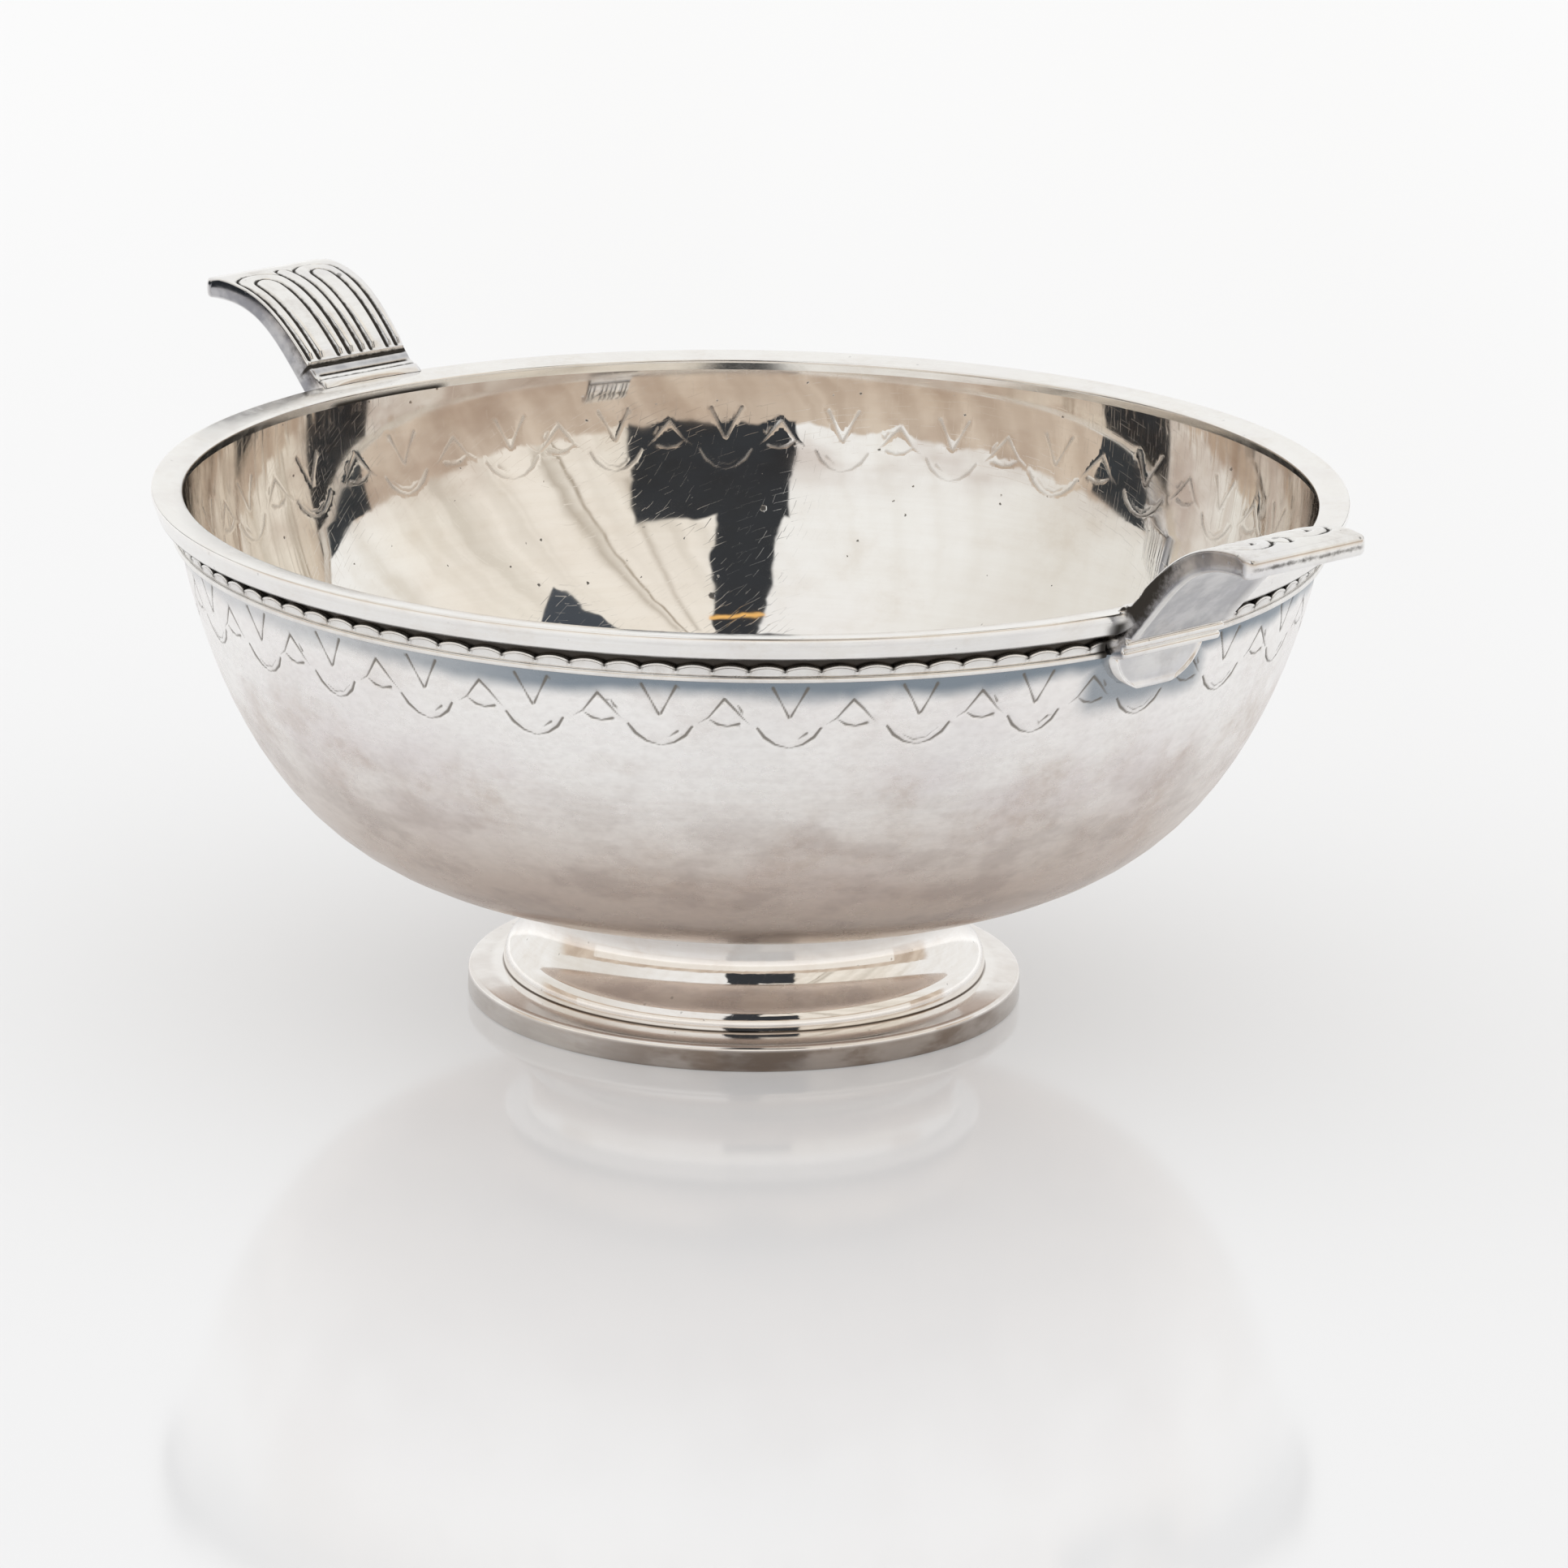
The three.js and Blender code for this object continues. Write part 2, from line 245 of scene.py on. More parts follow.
def stretch(points, start_height, end_height, rows):
    """Even steps along a falling chain between two heights, in that order."""
    rising = np.argsort(points[:, 1])
    travel = travelled(points)[rising]
    ends = np.interp((start_height, end_height), points[rising, 1], travel)
    return picked(points, np.linspace(*ends, rows + 1))


def wall_profile(inset=0.0, samples=900):
    """Points and outward normals from the lip down to the middle of the bottom."""
    b = values().bowl
    lip_plane = BOWL_LOW.z + b.depth
    lip = ((lip_plane - BOWL_HIGH.z) / b.depth) ** (1 / b.bottom_fullness)
    nearly_down = 0.4999 * math.pi
    angles = np.linspace(math.asin(lip), nearly_down, samples)
    across, down = np.cos(angles), np.sin(angles)
    out = b.depth * b.bottom_fullness * down ** (b.bottom_fullness - 2) * across
    up = -b.wall_radius * b.side_fullness * across ** (b.side_fullness - 2) * down
    normals = np.column_stack([out, up])
    normals /= np.linalg.norm(normals, axis=1)[:, None]
    radii = b.wall_radius * across**b.side_fullness
    heights = lip_plane - b.depth * down**b.bottom_fullness
    return np.column_stack([radii, heights]) - inset * normals, normals


def at_height(heights, points, amounts):
    """What a falling chain has at some heights."""
    return np.interp(-heights, -points[:, 1], amounts)


def wall_radius_at(height, inset=0.0):
    points, _ = wall_profile(inset)
    return float(at_height(height, points, points[:, 0]))


def is_outside(radii, heights):
    """Whether places lie on the outer side of the bowl's sheet."""
    outer, _ = wall_profile()
    return radii > at_height(heights, outer, outer[:, 0]) - values().bowl.sheet / 2


def arc(centre, radius, start, end, steps):
    """Points on an arc of the side view, from one angle in degrees to another."""
    angles = np.radians(np.linspace(start, end, steps + 1))
    return [(centre[0] + radius * math.cos(a), centre[1] + radius * math.sin(a)) for a in angles]


def rounded(points, radii, steps=4):
    """Rounds the corners of a closed outline. Each corner has its own radius, or none."""
    made = []
    for i, radius in enumerate(radii):
        corners = points[i], points[i - 1], points[(i + 1) % len(points)]
        here, before, after = map(Vector, corners)
        to_before, to_after = before - here, after - here
        half = to_before.angle(to_after) / 2
        room = 0.48 * min(to_before.length, to_after.length)
        cut = min(radius / math.tan(half), room)
        if cut < 1e-6:
            made.append(tuple(here))
            continue
        first = here + to_before.normalized() * cut
        last = here + to_after.normalized() * cut
        for t in (step / steps for step in range(steps + 1)):
            made.append(tuple(first * (1 - t) ** 2 + here * 2 * t * (1 - t) + last * t**2))
    return made


def bezier(points, steps):
    """Points on a curve that four points steer, without the first."""
    p0, p1, p2, p3 = (np.array(p) for p in points)
    t = np.linspace(0, 1, steps + 1)[1:, None]
    near = (1 - t) ** 3 * p0 + 3 * (1 - t) ** 2 * t * p1
    return [tuple(p) for p in near + 3 * (1 - t) * t**2 * p2 + t**3 * p3]


# Helpers for meshes


def ended(bm, name):
    """The bmesh as a mesh of its own."""
    mesh = bpy.data.meshes.new(name)
    bm.to_mesh(mesh)
    bm.free()
    return mesh


def closed_mesh(bm, name):
    """Merges the doubles, turns the faces outwards and ends the bmesh."""
    bmesh.ops.remove_doubles(bm, verts=bm.verts, dist=SAME_PLACE)
    bmesh.ops.dissolve_degenerate(bm, edges=bm.edges, dist=1e-8)
    bmesh.ops.recalc_face_normals(bm, faces=bm.faces)
    open_edges = sum(not edge.is_manifold for edge in bm.edges)
    if open_edges:
        raise RuntimeError(f"{name} has {open_edges} open edges")
    return ended(bm, name)


def spin_outline(target, points, steps, closed=False, sectors=16):
    """Turns a chain of radius and height points round the Z axis, one sector first."""
    bm = bmesh.new()
    verts = [bm.verts.new((radius, 0.0, height)) for radius, height in points]
    pairs = list(zip(verts, verts[1:]))
    if closed:
        pairs.append((verts[-1], verts[0]))
    edges = [bm.edges.new(pair) for pair in pairs]
    sector = FULL_TURN / sectors
    bmesh.ops.spin(bm, geom=verts + edges, angle=sector, steps=steps // sectors, **UPRIGHT)
    others = {"angle": FULL_TURN - sector, "steps": sectors - 1, "use_duplicate": True}
    bmesh.ops.spin(bm, geom=bm.verts[:] + bm.edges[:] + bm.faces[:], **others, **UPRIGHT)
    bmesh.ops.remove_doubles(bm, verts=bm.verts, dist=SAME_PLACE)
    ring = ended(bm, "ring")
    target.from_mesh(ring)
    bpy.data.meshes.remove(ring)


def coordinates(mesh):
    co = np.empty(len(mesh.vertices) * 3, np.float32)
    mesh.vertices.foreach_get("co", co)
    return co.reshape(-1, 3).astype(float)


def set_coordinates(mesh, co):
    mesh.vertices.foreach_set("co", co.astype(np.float32).ravel())
    mesh.update()


def polar(co):
    return np.hypot(co[:, 0], co[:, 1]), np.arctan2(co[:, 1], co[:, 0])


def paint(mesh, name, amounts):
    """Keeps one number for each point, which a material reads by its name."""
    layer = mesh.attributes.new(name, "FLOAT", "POINT")
    layer.data.foreach_set("value", np.asarray(amounts, np.float32))


def placed(mesh, name, material):
    """An object of the scene that shows the mesh."""
    mesh.materials.append(material)
    made = bpy.data.objects.new(name, mesh)
    bpy.context.scene.collection.objects.link(made)
    return made


def show(mesh, name, node, slot, crease=40):
    """Makes the finished piece and lets it stand for its solid."""
    mesh.shade_smooth()
    mesh.set_sharp_from_angle(angle=math.radians(crease))
    piece = placed(mesh, name, silver(slot))
    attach(piece, "root")
    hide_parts(node)


def ramp(amount, width):
    """Rises from 0 to 1 while the amount runs from 0 to the width."""
    return np.clip(amount / width, 0.0, 1.0)


def hill(amount, width):
    """1 where the amount is 0, and soft on both sides of it."""
    return np.exp(-((amount / width) ** 2))


# The chased border


def border_strokes(rng):
    """Cuts of one repeat: points across and up in millimetres, with width and depth shares."""
    lean = rng.uniform(-0.15, 0.15)
    size = rng.uniform(0.94, 1.05)
    strokes = [
        [(-2.85 + lean, 78.8, 1.05, 1.0), (-1.4, 76.2, 0.6, 0.75), (-0.12, 73.7, 0.9, 0.9)],
        [(2.75 + lean, 78.7, 1.1, 1.0), (1.35, 76.0, 0.6, 0.7), (0.25, 73.9, 0.85, 0.9)],
        [
            (-5.05 * size, 71.8, 0.8, 0.9),
            (-3.9 * size, 70.2, 1.05, 1.0),
            (-2.1 * size, 68.9, 0.75, 0.85),
            (0.0, 68.3, 0.5, 0.55),
        ],
        [
            (5.05 * size, 71.8, 0.8, 0.95),
            (4.0 * size, 70.2, 1.0, 1.0),
            (2.2 * size, 68.9, 0.75, 0.8),
            (0.2, 68.3, 0.5, 0.5),
        ],
    ]
    one_way = [(1.5, 69.9, 0.5, 0.5), (2.9, 70.9, 0.95, 0.8)]
    long_way = [(-2.4, 70.1, 0.4, 0.5), (-0.6, 69.1, 0.65, 0.6)]
    long_way += [(1.6, 69.5, 0.5, 0.5), (3.4, 71.0, 0.4, 0.4)]
    return strokes + [one_way if rng.random() < 0.6 else long_way]


def between_strokes(rng):
    """Cuts between two repeats: an upturned V with a small crescent under it."""
    lift = rng.uniform(-0.2, 0.2)
    point = (0.0, 76.8 + lift, 0.9, 1.0)
    strokes = [
        [point, (-1.5, 74.9, 0.7, 0.85), (-2.6, 73.5, 0.6, 0.7), (-4.2, 72.5, 0.4, 0.4)],
        [point, (1.6, 75.1, 0.8, 0.9), (3.0, 73.5, 0.6, 0.7), (4.2, 72.4, 0.35, 0.35)],
        [
            (-2.4, 73.2, 0.5, 0.6),
            (-1.2, 72.4, 0.85, 0.9),
            (0.5, 72.05, 0.7, 0.7),
            (2.4, 72.5, 1.0, 0.9),
        ],
    ]
    if rng.random() < 0.7:
        strokes.append([(2.2, 75.7, 0.7, 0.6), (2.8, 74.7, 0.9, 0.8)])
    return strokes


def border_segments():
    """Direction of each mark, with its straight cuts as rows of two stroke points."""
    b = values().border
    rng = random.Random(11)
    pitch = FULL_TURN / b.repeats
    groups = []
    for repeat in range(b.repeats):
        for half, strokes in ((0.0, border_strokes), (0.5, between_strokes)):
            centre = b.first + (repeat + half) * pitch
            beside = math.remainder(centre - b.pull_at, FULL_TURN)
            ahead = b.drift * (1 - math.cos(centre - b.first)) / 2
            ahead += b.pull * hill(beside, b.pull_width)
            centre += ahead + rng.uniform(-1, 1) * b.uneven
            rows = [(*p, *q) for stroke in strokes(rng) for p, q in zip(stroke, stroke[1:])]
            groups.append((centre, np.array(rows)))
    return groups


def border_field(angles, heights, groups, spread=1.0):
    """Strength of the cuts, and the distance in millimetres to the nearest, at each place."""
    b, radius = values().border, values().bowl.wall_radius
    reach = FULL_TURN / b.repeats * 0.55
    strength = np.zeros(len(angles))
    nearest = np.full(len(angles), 1e3)
    up = heights / MM
    in_band = (up > 67) & (up < 80.5)
    for centre, rows in groups:
        offset = np.mod(angles - centre + math.pi, FULL_TURN) - math.pi
        close = np.nonzero((np.abs(offset) < reach) & in_band)[0]
        if not len(close):
            continue
        place = np.stack([offset[close] * radius / MM, up[close]], axis=1)[:, None]
        start, run = rows[:, 0:2], rows[:, 4:6] - rows[:, 0:2]
        t = np.clip(((place - start) * run).sum(-1) / (run * run).sum(-1), 0.0, 1.0)
        gap = np.linalg.norm(place - start - t[..., None] * run, axis=-1)
        width = (rows[:, 2] * (1 - t) + rows[:, 6] * t) * b.groove_width / MM * spread
        depth = rows[:, 3] * (1 - t) + rows[:, 7] * t
        value = (depth * hill(gap, width)).max(axis=1)
        strength[close] = np.maximum(strength[close], value)
        nearest[close] = np.minimum(nearest[close], gap.min(axis=1))
    return strength, nearest


class SILVER_OT_bowl(bpy.types.Operator):
    """Raise the bowl with its chased border"""

    bl_idname = "silver.bowl"
    bl_label = "Bowl"

    # Heights where the plain wall ends, the border runs and the marks are worked
    join = 0.0660
    border_low, border_top = 0.0668, 0.0802
    worked_from = 0.0665
    # Points round the plain wall and round the border
    coarse, fine = 256, 768
    # Faces this near to a mark, in millimetres, are cut finer
    cut_near_outside, cut_near_inside = 0.52, 0.46

    def execute(self, context):
        sheet, low, top = values().bowl.sheet, self.border_low, self.border_top
        outer, _ = wall_profile()
        inner, _ = wall_profile(sheet)
        bm = bmesh.new()
        border = stretch(outer, low, top, 17) + stretch(outer, top, BOWL_HIGH.z, 4)[1:]
        border += stretch(inner, inner[0][1], top, 4) + stretch(inner, top, low, 17)[1:]
        spin_outline(bm, border, self.fine)
        groups = border_segments()
        edges = self.edges_near(bm, groups)
        bmesh.ops.subdivide_edges(bm, edges=edges, cuts=2, use_grid_fill=True)
        below = [(0.0, BOWL_LOW.z)] + stretch(outer, outer[-1][1], self.join, 26)
        spin_outline(bm, below, self.coarse)
        below = stretch(inner, self.join, inner[-1][1], 26) + [(0.0, BOWL_LOW.z + sheet)]
        spin_outline(bm, below, self.coarse)
        bmesh.ops.remove_doubles(bm, verts=bm.verts, dist=SAME_PLACE)
        for outside in (True, False):
            loops = self.open_loop(bm, self.join, outside) + self.open_loop(bm, low, outside)
            bmesh.ops.bridge_loops(bm, edges=loops)
        mesh = closed_mesh(bm, "bowl_body_looks")
        self.chase(mesh, groups)
        show(mesh, "bowl", "bowl_body", "bowl_silver", crease=70)
        return {"FINISHED"}

    def edges_near(self, bm, groups):
        """Edges of the faces near the chased marks."""
        bm.faces.ensure_lookup_table()
        centres = np.array([face.calc_center_median() for face in bm.faces])
        radii, angles = polar(centres)
        _, nearest = border_field(angles, centres[:, 2], groups)
        outside = is_outside(radii, centres[:, 2])
        reach = np.where(outside, self.cut_near_outside, self.cut_near_inside)
        chosen = [bm.faces[i] for i in np.nonzero(nearest < reach)[0]]
        return list({edge for face in chosen for edge in face.edges})

    def open_loop(self, bm, height, outside):
        """Edges of the open loop at a height, on the outer or the inner wall."""
        found = []
        for edge in bm.edges:
            co = edge.verts[0].co
            if not edge.is_boundary or abs(co.z - height) > 1e-5:
                continue
            if is_outside(math.hypot(co.x, co.y), co.z) == outside:
                found.append(edge)
        return found

    def chase(self, mesh, groups):
        """Sets the points on the true wall and sinks the chased marks into it."""
        sheet, border = values().bowl.sheet, values().border
        co = coordinates(mesh)
        radii, angles = polar(co)
        outside = is_outside(radii, co[:, 2])
        floor = BOWL_LOW.z + sheet / 2
        in_middle = (radii < 0.01) & (co[:, 2] > floor)
        inside = (~outside & (co[:, 2] >= floor)) | in_middle
        worked = (co[:, 2] > self.worked_from) & (co[:, 2] < BOWL_HIGH.z - 1e-5)
        marks = np.zeros(len(co))
        for side, inset, depth, spread in (
            (outside, 0.0, border.groove_depth, 1.0),
            (~outside, sheet, border.raised, 1.2),
        ):
            points, normals = wall_profile(inset)
            chosen = np.nonzero(side & worked)[0]
            z, turn = co[chosen, 2], angles[chosen]
            strength, _ = border_field(turn, z, groups, spread)
            marks[chosen] = strength
            out, up = (at_height(z, points, normals[:, k]) for k in (0, 1))
            radius = at_height(z, points, points[:, 0]) - out * strength * depth
            sunk = [radius * np.cos(turn), radius * np.sin(turn), z - up * strength * depth]
            co[chosen] = np.column_stack(sunk)
        set_coordinates(mesh, co)
        paint(mesh, "cut", marks)
        paint(mesh, "inside", inside)


class SILVER_OT_rim(bpy.types.Operator):
    """Turn the rim moulding"""

    bl_idname = "silver.rim"
    bl_label = "Rim"

    def execute(self, context):
        r, sheet = values().rim, values().bowl.sheet
        radius, top, under = RIM_HIGH.x, RIM_HIGH.z, RIM_LOW.z
        wall = wall_radius_at(under)
        cove = top - r.fall - r.cove
        cove_wall = wall_radius_at(cove, sheet)
        # Corners of the section, each with its roundness in millimetres
        section = (
            ((wall, under + 0.2 * MM), 0.1),
            ((radius - r.lean, under), 0.5),
            ((radius - 0.3 * MM, (under + top) / 2 + 0.3 * MM), 1.6),
            ((radius, top - 1.1 * MM), 1.5),
            ((radius, top), 0.75),
            ((radius - r.face, top - r.fall), 0.6),
            ((cove_wall - 0.02 * MM, cove), 0.0),
            ((cove_wall + 0.1 * MM, BOWL_HIGH.z + 0.02 * MM), 0.0),
            ((wall, BOWL_HIGH.z - 0.1 * MM), 0.1),
        )
        points, radii = zip(*section)
        outline = rounded(points, [rounding * MM for rounding in radii], steps=6)
        bm = bmesh.new()
        spin_outline(bm, outline, 384, closed=True)
        mesh = closed_mesh(bm, "rim_looks")
        show(mesh, "rim", "rim_moulding", "rim_silver", crease=50)
        return {"FINISHED"}


class SILVER_OT_wires(bpy.types.Operator):
    """Lay the plain and the wavy wire under the rim"""

    bl_idname = "silver.wires"
    bl_label = "Wires"

    bead = 0.26 * MM

    def execute(self, context):
        for side, place in ((-1, "front"), (1, "back")):
            self.plain_wire(side, place)
            self.wave_wire(side, place)
        return {"FINISHED"}

    def cut_for_handles(self, bm, side):
        """Keeps the front or the back length of a ring, between the handles."""
        half = values().handle.width / 2
        result = bmesh.ops.bisect_plane(
            bm,
            geom=bm.verts[:] + bm.edges[:] + bm.faces[:],
            plane_co=(0.0, side * half, 0.0),
            plane_no=(0.0, -side, 0.0),
            clear_outer=True,
        )
        edges = [e for e in result["geom_cut"] if isinstance(e, bmesh.types.BMEdge)]
        bmesh.ops.holes_fill(bm, edges=edges, sides=0)

    def plain_wire(self, side, place):
        low, high, outer = PLAIN_LOW.z, PLAIN_HIGH.z, PLAIN_HIGH.x
        inner_low, inner_high = (wall_radius_at(z) - 0.05 * MM for z in (low, high))
        corners = [(inner_low, low), (outer, low), (outer, high), (inner_high, high)]
        outline = rounded(corners, [0.05 * MM, 0.45 * MM, 0.4 * MM, 0.05 * MM])
        bm = bmesh.new()
        spin_outline(bm, outline, 384, closed=True)
        self.cut_for_handles(bm, side)
        node = f"plain_wire_{place}"
        mesh = closed_mesh(bm, f"{node}_looks")
        radii, _ = polar(coordinates(mesh))
        # Black toning and painted shade on the wire's inner side, against the wall
        paint(mesh, "cut", 0.6 * ramp(outer - 0.45 * MM - radii, 0.3 * MM))
        show(mesh, f"plain_{place}", node, "wire_silver")

    def hump(self, co):
        """Height of the wavy wire's edge, from 0 in a notch to 1."""
        turn = values().rim.waves * math.atan2(co[1], co[0])
        return abs(math.cos(turn / 2)) ** 0.75

    def wave_wire(self, side, place):
        r, bead = values().rim, self.bead
        low = PLAIN_HIGH.z - 0.05 * MM
        outer, top = WAVE_HIGH.x, WAVE_HIGH.z - r.wave_swing
        inner = wall_radius_at(low) - 0.15 * MM
        outline = [(inner, low), (outer - 0.42 * MM, low)]
        outline.append((outer - 0.32 * MM, top - 2.6 * bead))
        outline += arc((outer - bead, top - bead), bead, -60, 90, 6) + [(inner, top)]
        bm = bmesh.new()
        spin_outline(bm, outline, r.waves * 16, closed=True)
        for vert in bm.verts:
            if vert.co.z > low + 1e-6:
                vert.co.z += r.wave_swing * self.hump(vert.co)
        self.cut_for_handles(bm, side)
        node = f"wave_wire_{place}"
        mesh = closed_mesh(bm, f"{node}_looks")
        co = coordinates(mesh)
        hump = np.array([self.hump(point) for point in co])
        # Black toning and painted shade in the notches between the humps and at the back against
        # the wall
        notch = ramp(0.45 - hump, 0.35) * (co[:, 2] > top - 0.5 * MM)
        back = ramp(outer - 0.8 * MM - polar(co)[0], 0.4 * MM)
        paint(mesh, "cut", np.maximum(0.8 * notch, back))
        show(mesh, f"wave_{place}", node, "wire_silver", crease=75)


class SILVER_OT_foot(bpy.types.Operator):
    """Turn the collar, the cone and the base ring of the foot"""

    bl_idname = "silver.foot"
    bl_label = "Foot"

    def execute(self, context):
        for name in ("collar", "cone", "base_ring"):
            bm = bmesh.new()
            spin_outline(bm, getattr(self, name)(), 320, closed=True)
            show(closed_mesh(bm, f"{name}_looks"), name, f"foot_{name}", "foot_silver")
        return {"FINISHED"}

    def collar(self):
        low, high, radius = COLLAR_LOW.z, COLLAR_HIGH.z, COLLAR_HIGH.x
        bead = (high - low) / 2
        inner = radius - values().foot.collar_width
        edge = arc((radius - bead, low + bead), bead, -90, 90, 12)
        return [(inner, low)] + edge + [(inner, high)]

    def cone(self):
        f = values().foot
        lap = f.flange_lap / (BASE_HIGH.x - CONE_HIGH.x + f.flange_lap)
        bottom, top = BASE_HIGH.z - lap * f.base_fall + 0.03 * MM, CONE_HIGH.z
        turn = math.degrees(f.sweep_turn)
        reach = f.neck_sweep + f.shoulder
        shoulder = (CONE_HIGH.x - f.shoulder, bottom + f.shoulder_rise)
        sweep = (
            shoulder[0] + reach * math.cos(f.sweep_turn),
            shoulder[1] + reach * math.sin(f.sweep_turn),
        )

        def end(radius):
            return 180 - math.degrees(math.asin((top - sweep[1]) / radius))

        def start(radius):
            return -math.degrees(math.asin(f.shoulder_rise / radius))

        inner_sweep, inner_shoulder = f.neck_sweep + f.sheet, f.shoulder - f.sheet
        outline = arc(shoulder, f.shoulder, start(f.shoulder), turn, 16)
        outline += arc(sweep, f.neck_sweep, 180 + turn, end(f.neck_sweep), 24)[1:]
        outline += arc(sweep, inner_sweep, end(inner_sweep), 180 + turn, 16)
        return outline + arc(shoulder, inner_shoulder, turn, start(inner_shoulder), 10)[1:]

    def base_ring(self):
        f = values().foot
        radius, top = BASE_HIGH.x, BASE_HIGH.z
        edge = top - f.base_fall
        under = edge - f.flange
        wall, inner = radius - f.base_wall, CONE_HIGH.x - f.flange_lap
        corners = [(wall, 0.0), (radius, 0.0), (radius, edge)]
        corners += [(inner, top), (inner, under), (wall, under)]
        roundings = (0.2, 0.5, 0.9, 0.3, 0.2, 0.4)
        return rounded(corners, [rounding * MM for rounding in roundings], steps=5)


# The cast handles, shaped in millimetres


def loop_distance(across, along, left, right, straight, peak):
    """Distance to a loop with two legs that a half ellipse joins at its far end."""
    centre, half = (left + right) / 2, (right - left) / 2
    legs = np.abs(np.abs(across - centre) - half)
    height = peak - straight
    rise = np.maximum(along - straight, 0.0) / height
    level = np.hypot((across - centre) / half, rise)
    slope = np.hypot((across - centre) / half**2, rise / height) / np.maximum(level, 1e-6)
    arch = np.abs(level - 1.0) / np.maximum(slope, 1e-6)
    return np.where(along > straight, arch, legs)


def round_off(gap, radius):
    """How far a rounded edge falls back at some distance in from the side."""
    short = radius - np.clip(gap, 0.0, radius)
    return radius - np.sqrt(np.maximum(radius**2 - short**2, 0.0))


class Casting:
    """The points of one handle while it is carved, with their black and cool toning and their
    painted shade.
    """

    loops_from = 5.6
    # Left, right, end of the legs and peak of each loop, as shares of the plate
    loops = (
        (0.045, 0.45, 0.74, 0.875),
        (0.145, 0.345, 0.66, 0.775),
        (0.455, 0.575, 0.80, 0.895),
        (0.575, 0.93, 0.76, 0.90),
        (0.675, 0.84, 0.68, 0.80),
    )

    def __init__(self, outline, parts, row, place, lobe_top):
        h = values().handle
        self.h = h
        self.rim = RIM_HIGH.x / MM
        self.tip, self.top = HANDLE_HIGH.x / MM, HANDLE_HIGH.z / MM
        self.side_view_x = outline[row, 0]
        self.x, self.z = outline[row, 0].copy(), outline[row, 1].copy()
        self.place, self.part = place, parts[row]
        self.upper, self.lower = self.part == "upper", self.part == "lower"
        self.lobe, self.seat = self.part == "lobe", self.part == "seat"
        out = ramp(self.x - self.rim, self.tip - self.rim)
        half = (h.width + out * (h.tip_width - h.width)) / 2 / MM
        self.drop = ramp(lobe_top - self.z, h.lobe_drop / MM)
        lobe_half = h.lobe_width / 2 / MM * np.sqrt(1 - self.drop**2)
        self.half = np.where(self.z < lobe_top + 1e-6, lobe_half, half)
        self.y = (place * 2 - 1) * self.half
        self.side = self.half - np.abs(self.y)
        run = np.roll(outline, -1, axis=0) - np.roll(outline, 1, axis=0)
        run /= np.linalg.norm(run, axis=1)[:, None]
        self.normal = np.stack([-run[:, 1], run[:, 0]], axis=1)[row]
        self.along = travelled(outline)[row]
        self.push = np.zeros(len(row))
        self.dark = np.zeros(len(row))
        self.cool_toning_and_shade = np.zeros(len(row))

    def carve(self, flank_painted_reflection):
        self.reeds()
        self.cut_loops()
        self.lobe_border()
        self.scoop_underside()
        self.push -= np.where(self.seat, 0.0, round_off(self.side, self.h.rounding / MM))
        self.x += self.normal[:, 0] * self.push
        self.z += self.normal[:, 1] * self.push
        # The seat and the lobe follow the round wall
        inward = np.sqrt(np.maximum(self.x**2 - self.y**2, 0.0))
        self.x = np.where(self.seat | self.lobe, inward, self.x)
        self.tone_sides(flank_painted_reflection)
        # The tip's corners are rounded in plan
        near_tip = ramp(self.side_view_x - self.tip + 4.0, 4.0)
        self.x -= round_off(self.side, self.h.corner / MM) * near_tip
        self.z = np.minimum(self.z, self.top - 0.01)

    def reeds(self):
        """Two reeds, a fine line, the sunk band and its raised line at the plate's root."""

        def bump(at, width):
            return hill(self.along - at, width)

        inside = ramp(self.side - 0.5, 1.0)
        reeds = 0.26 * bump(0.55, 0.5) + 0.26 * bump(1.75, 0.55) - 0.22 * bump(1.15, 0.16)
        reeds -= 0.3 * bump(2.45, 0.18) * inside
        band = 0.28 * bump(5.25, 0.22) - 0.45 * bump(4.55, 0.42)
        black = 0.75 * bump(1.15, 0.18) + 0.9 * bump(2.45, 0.2) * inside
        black += 0.95 * bump(4.55, 0.5)
        self.push += self.upper * (reeds + band * ramp(self.side, 0.6))
        self.dark += self.upper * black
        self.cool_toning_and_shade += self.upper * 0.8 * bump(3.35, 0.85)

    def cut_loops(self):
        """Black loops cut in the plate, with the silver domed between them."""
        last = self.along[self.upper].max()
        span, u = last - self.loops_from, self.along - self.loops_from
        widths = np.maximum(2 * self.half, 1.0)
        v = (1 - self.place) * widths
        wide = 0.41 - 0.11 * ramp(u, span)
        groove = np.zeros(len(u))
        nearest = np.full(len(u), 9.0)
        for left, right, straight, peak in self.loops:
            ends = left * widths, right * widths, straight * span, peak * span
            gap = loop_distance(v, u, *ends)
            groove = np.maximum(groove, hill(gap, wide))
            nearest = np.minimum(nearest, gap)
        groove *= self.upper * ramp(u + 0.1, 0.4) * ramp(self.side, 0.35)
        dome = self.upper * ramp(u, 1.5) * ramp(last - self.along, 2.5)
        self.push += 0.28 * dome * (1 - hill(nearest, 0.9))
        self.push -= groove * self.h.groove_depth / MM
        self.dark = np.maximum(self.dark, groove)

    def lobe_border(self):
        below = self.h.lobe_drop / MM * (1 - self.drop)
        reach_in = np.minimum(self.side, below)
        self.push += self.lobe * 0.5 * hill(reach_in - 0.9, 0.5)
        # Painted shade inside the lobe's raised border
        self.cool_toning_and_shade += self.lobe * 0.4 * ramp(reach_in - 1.2, 0.8)

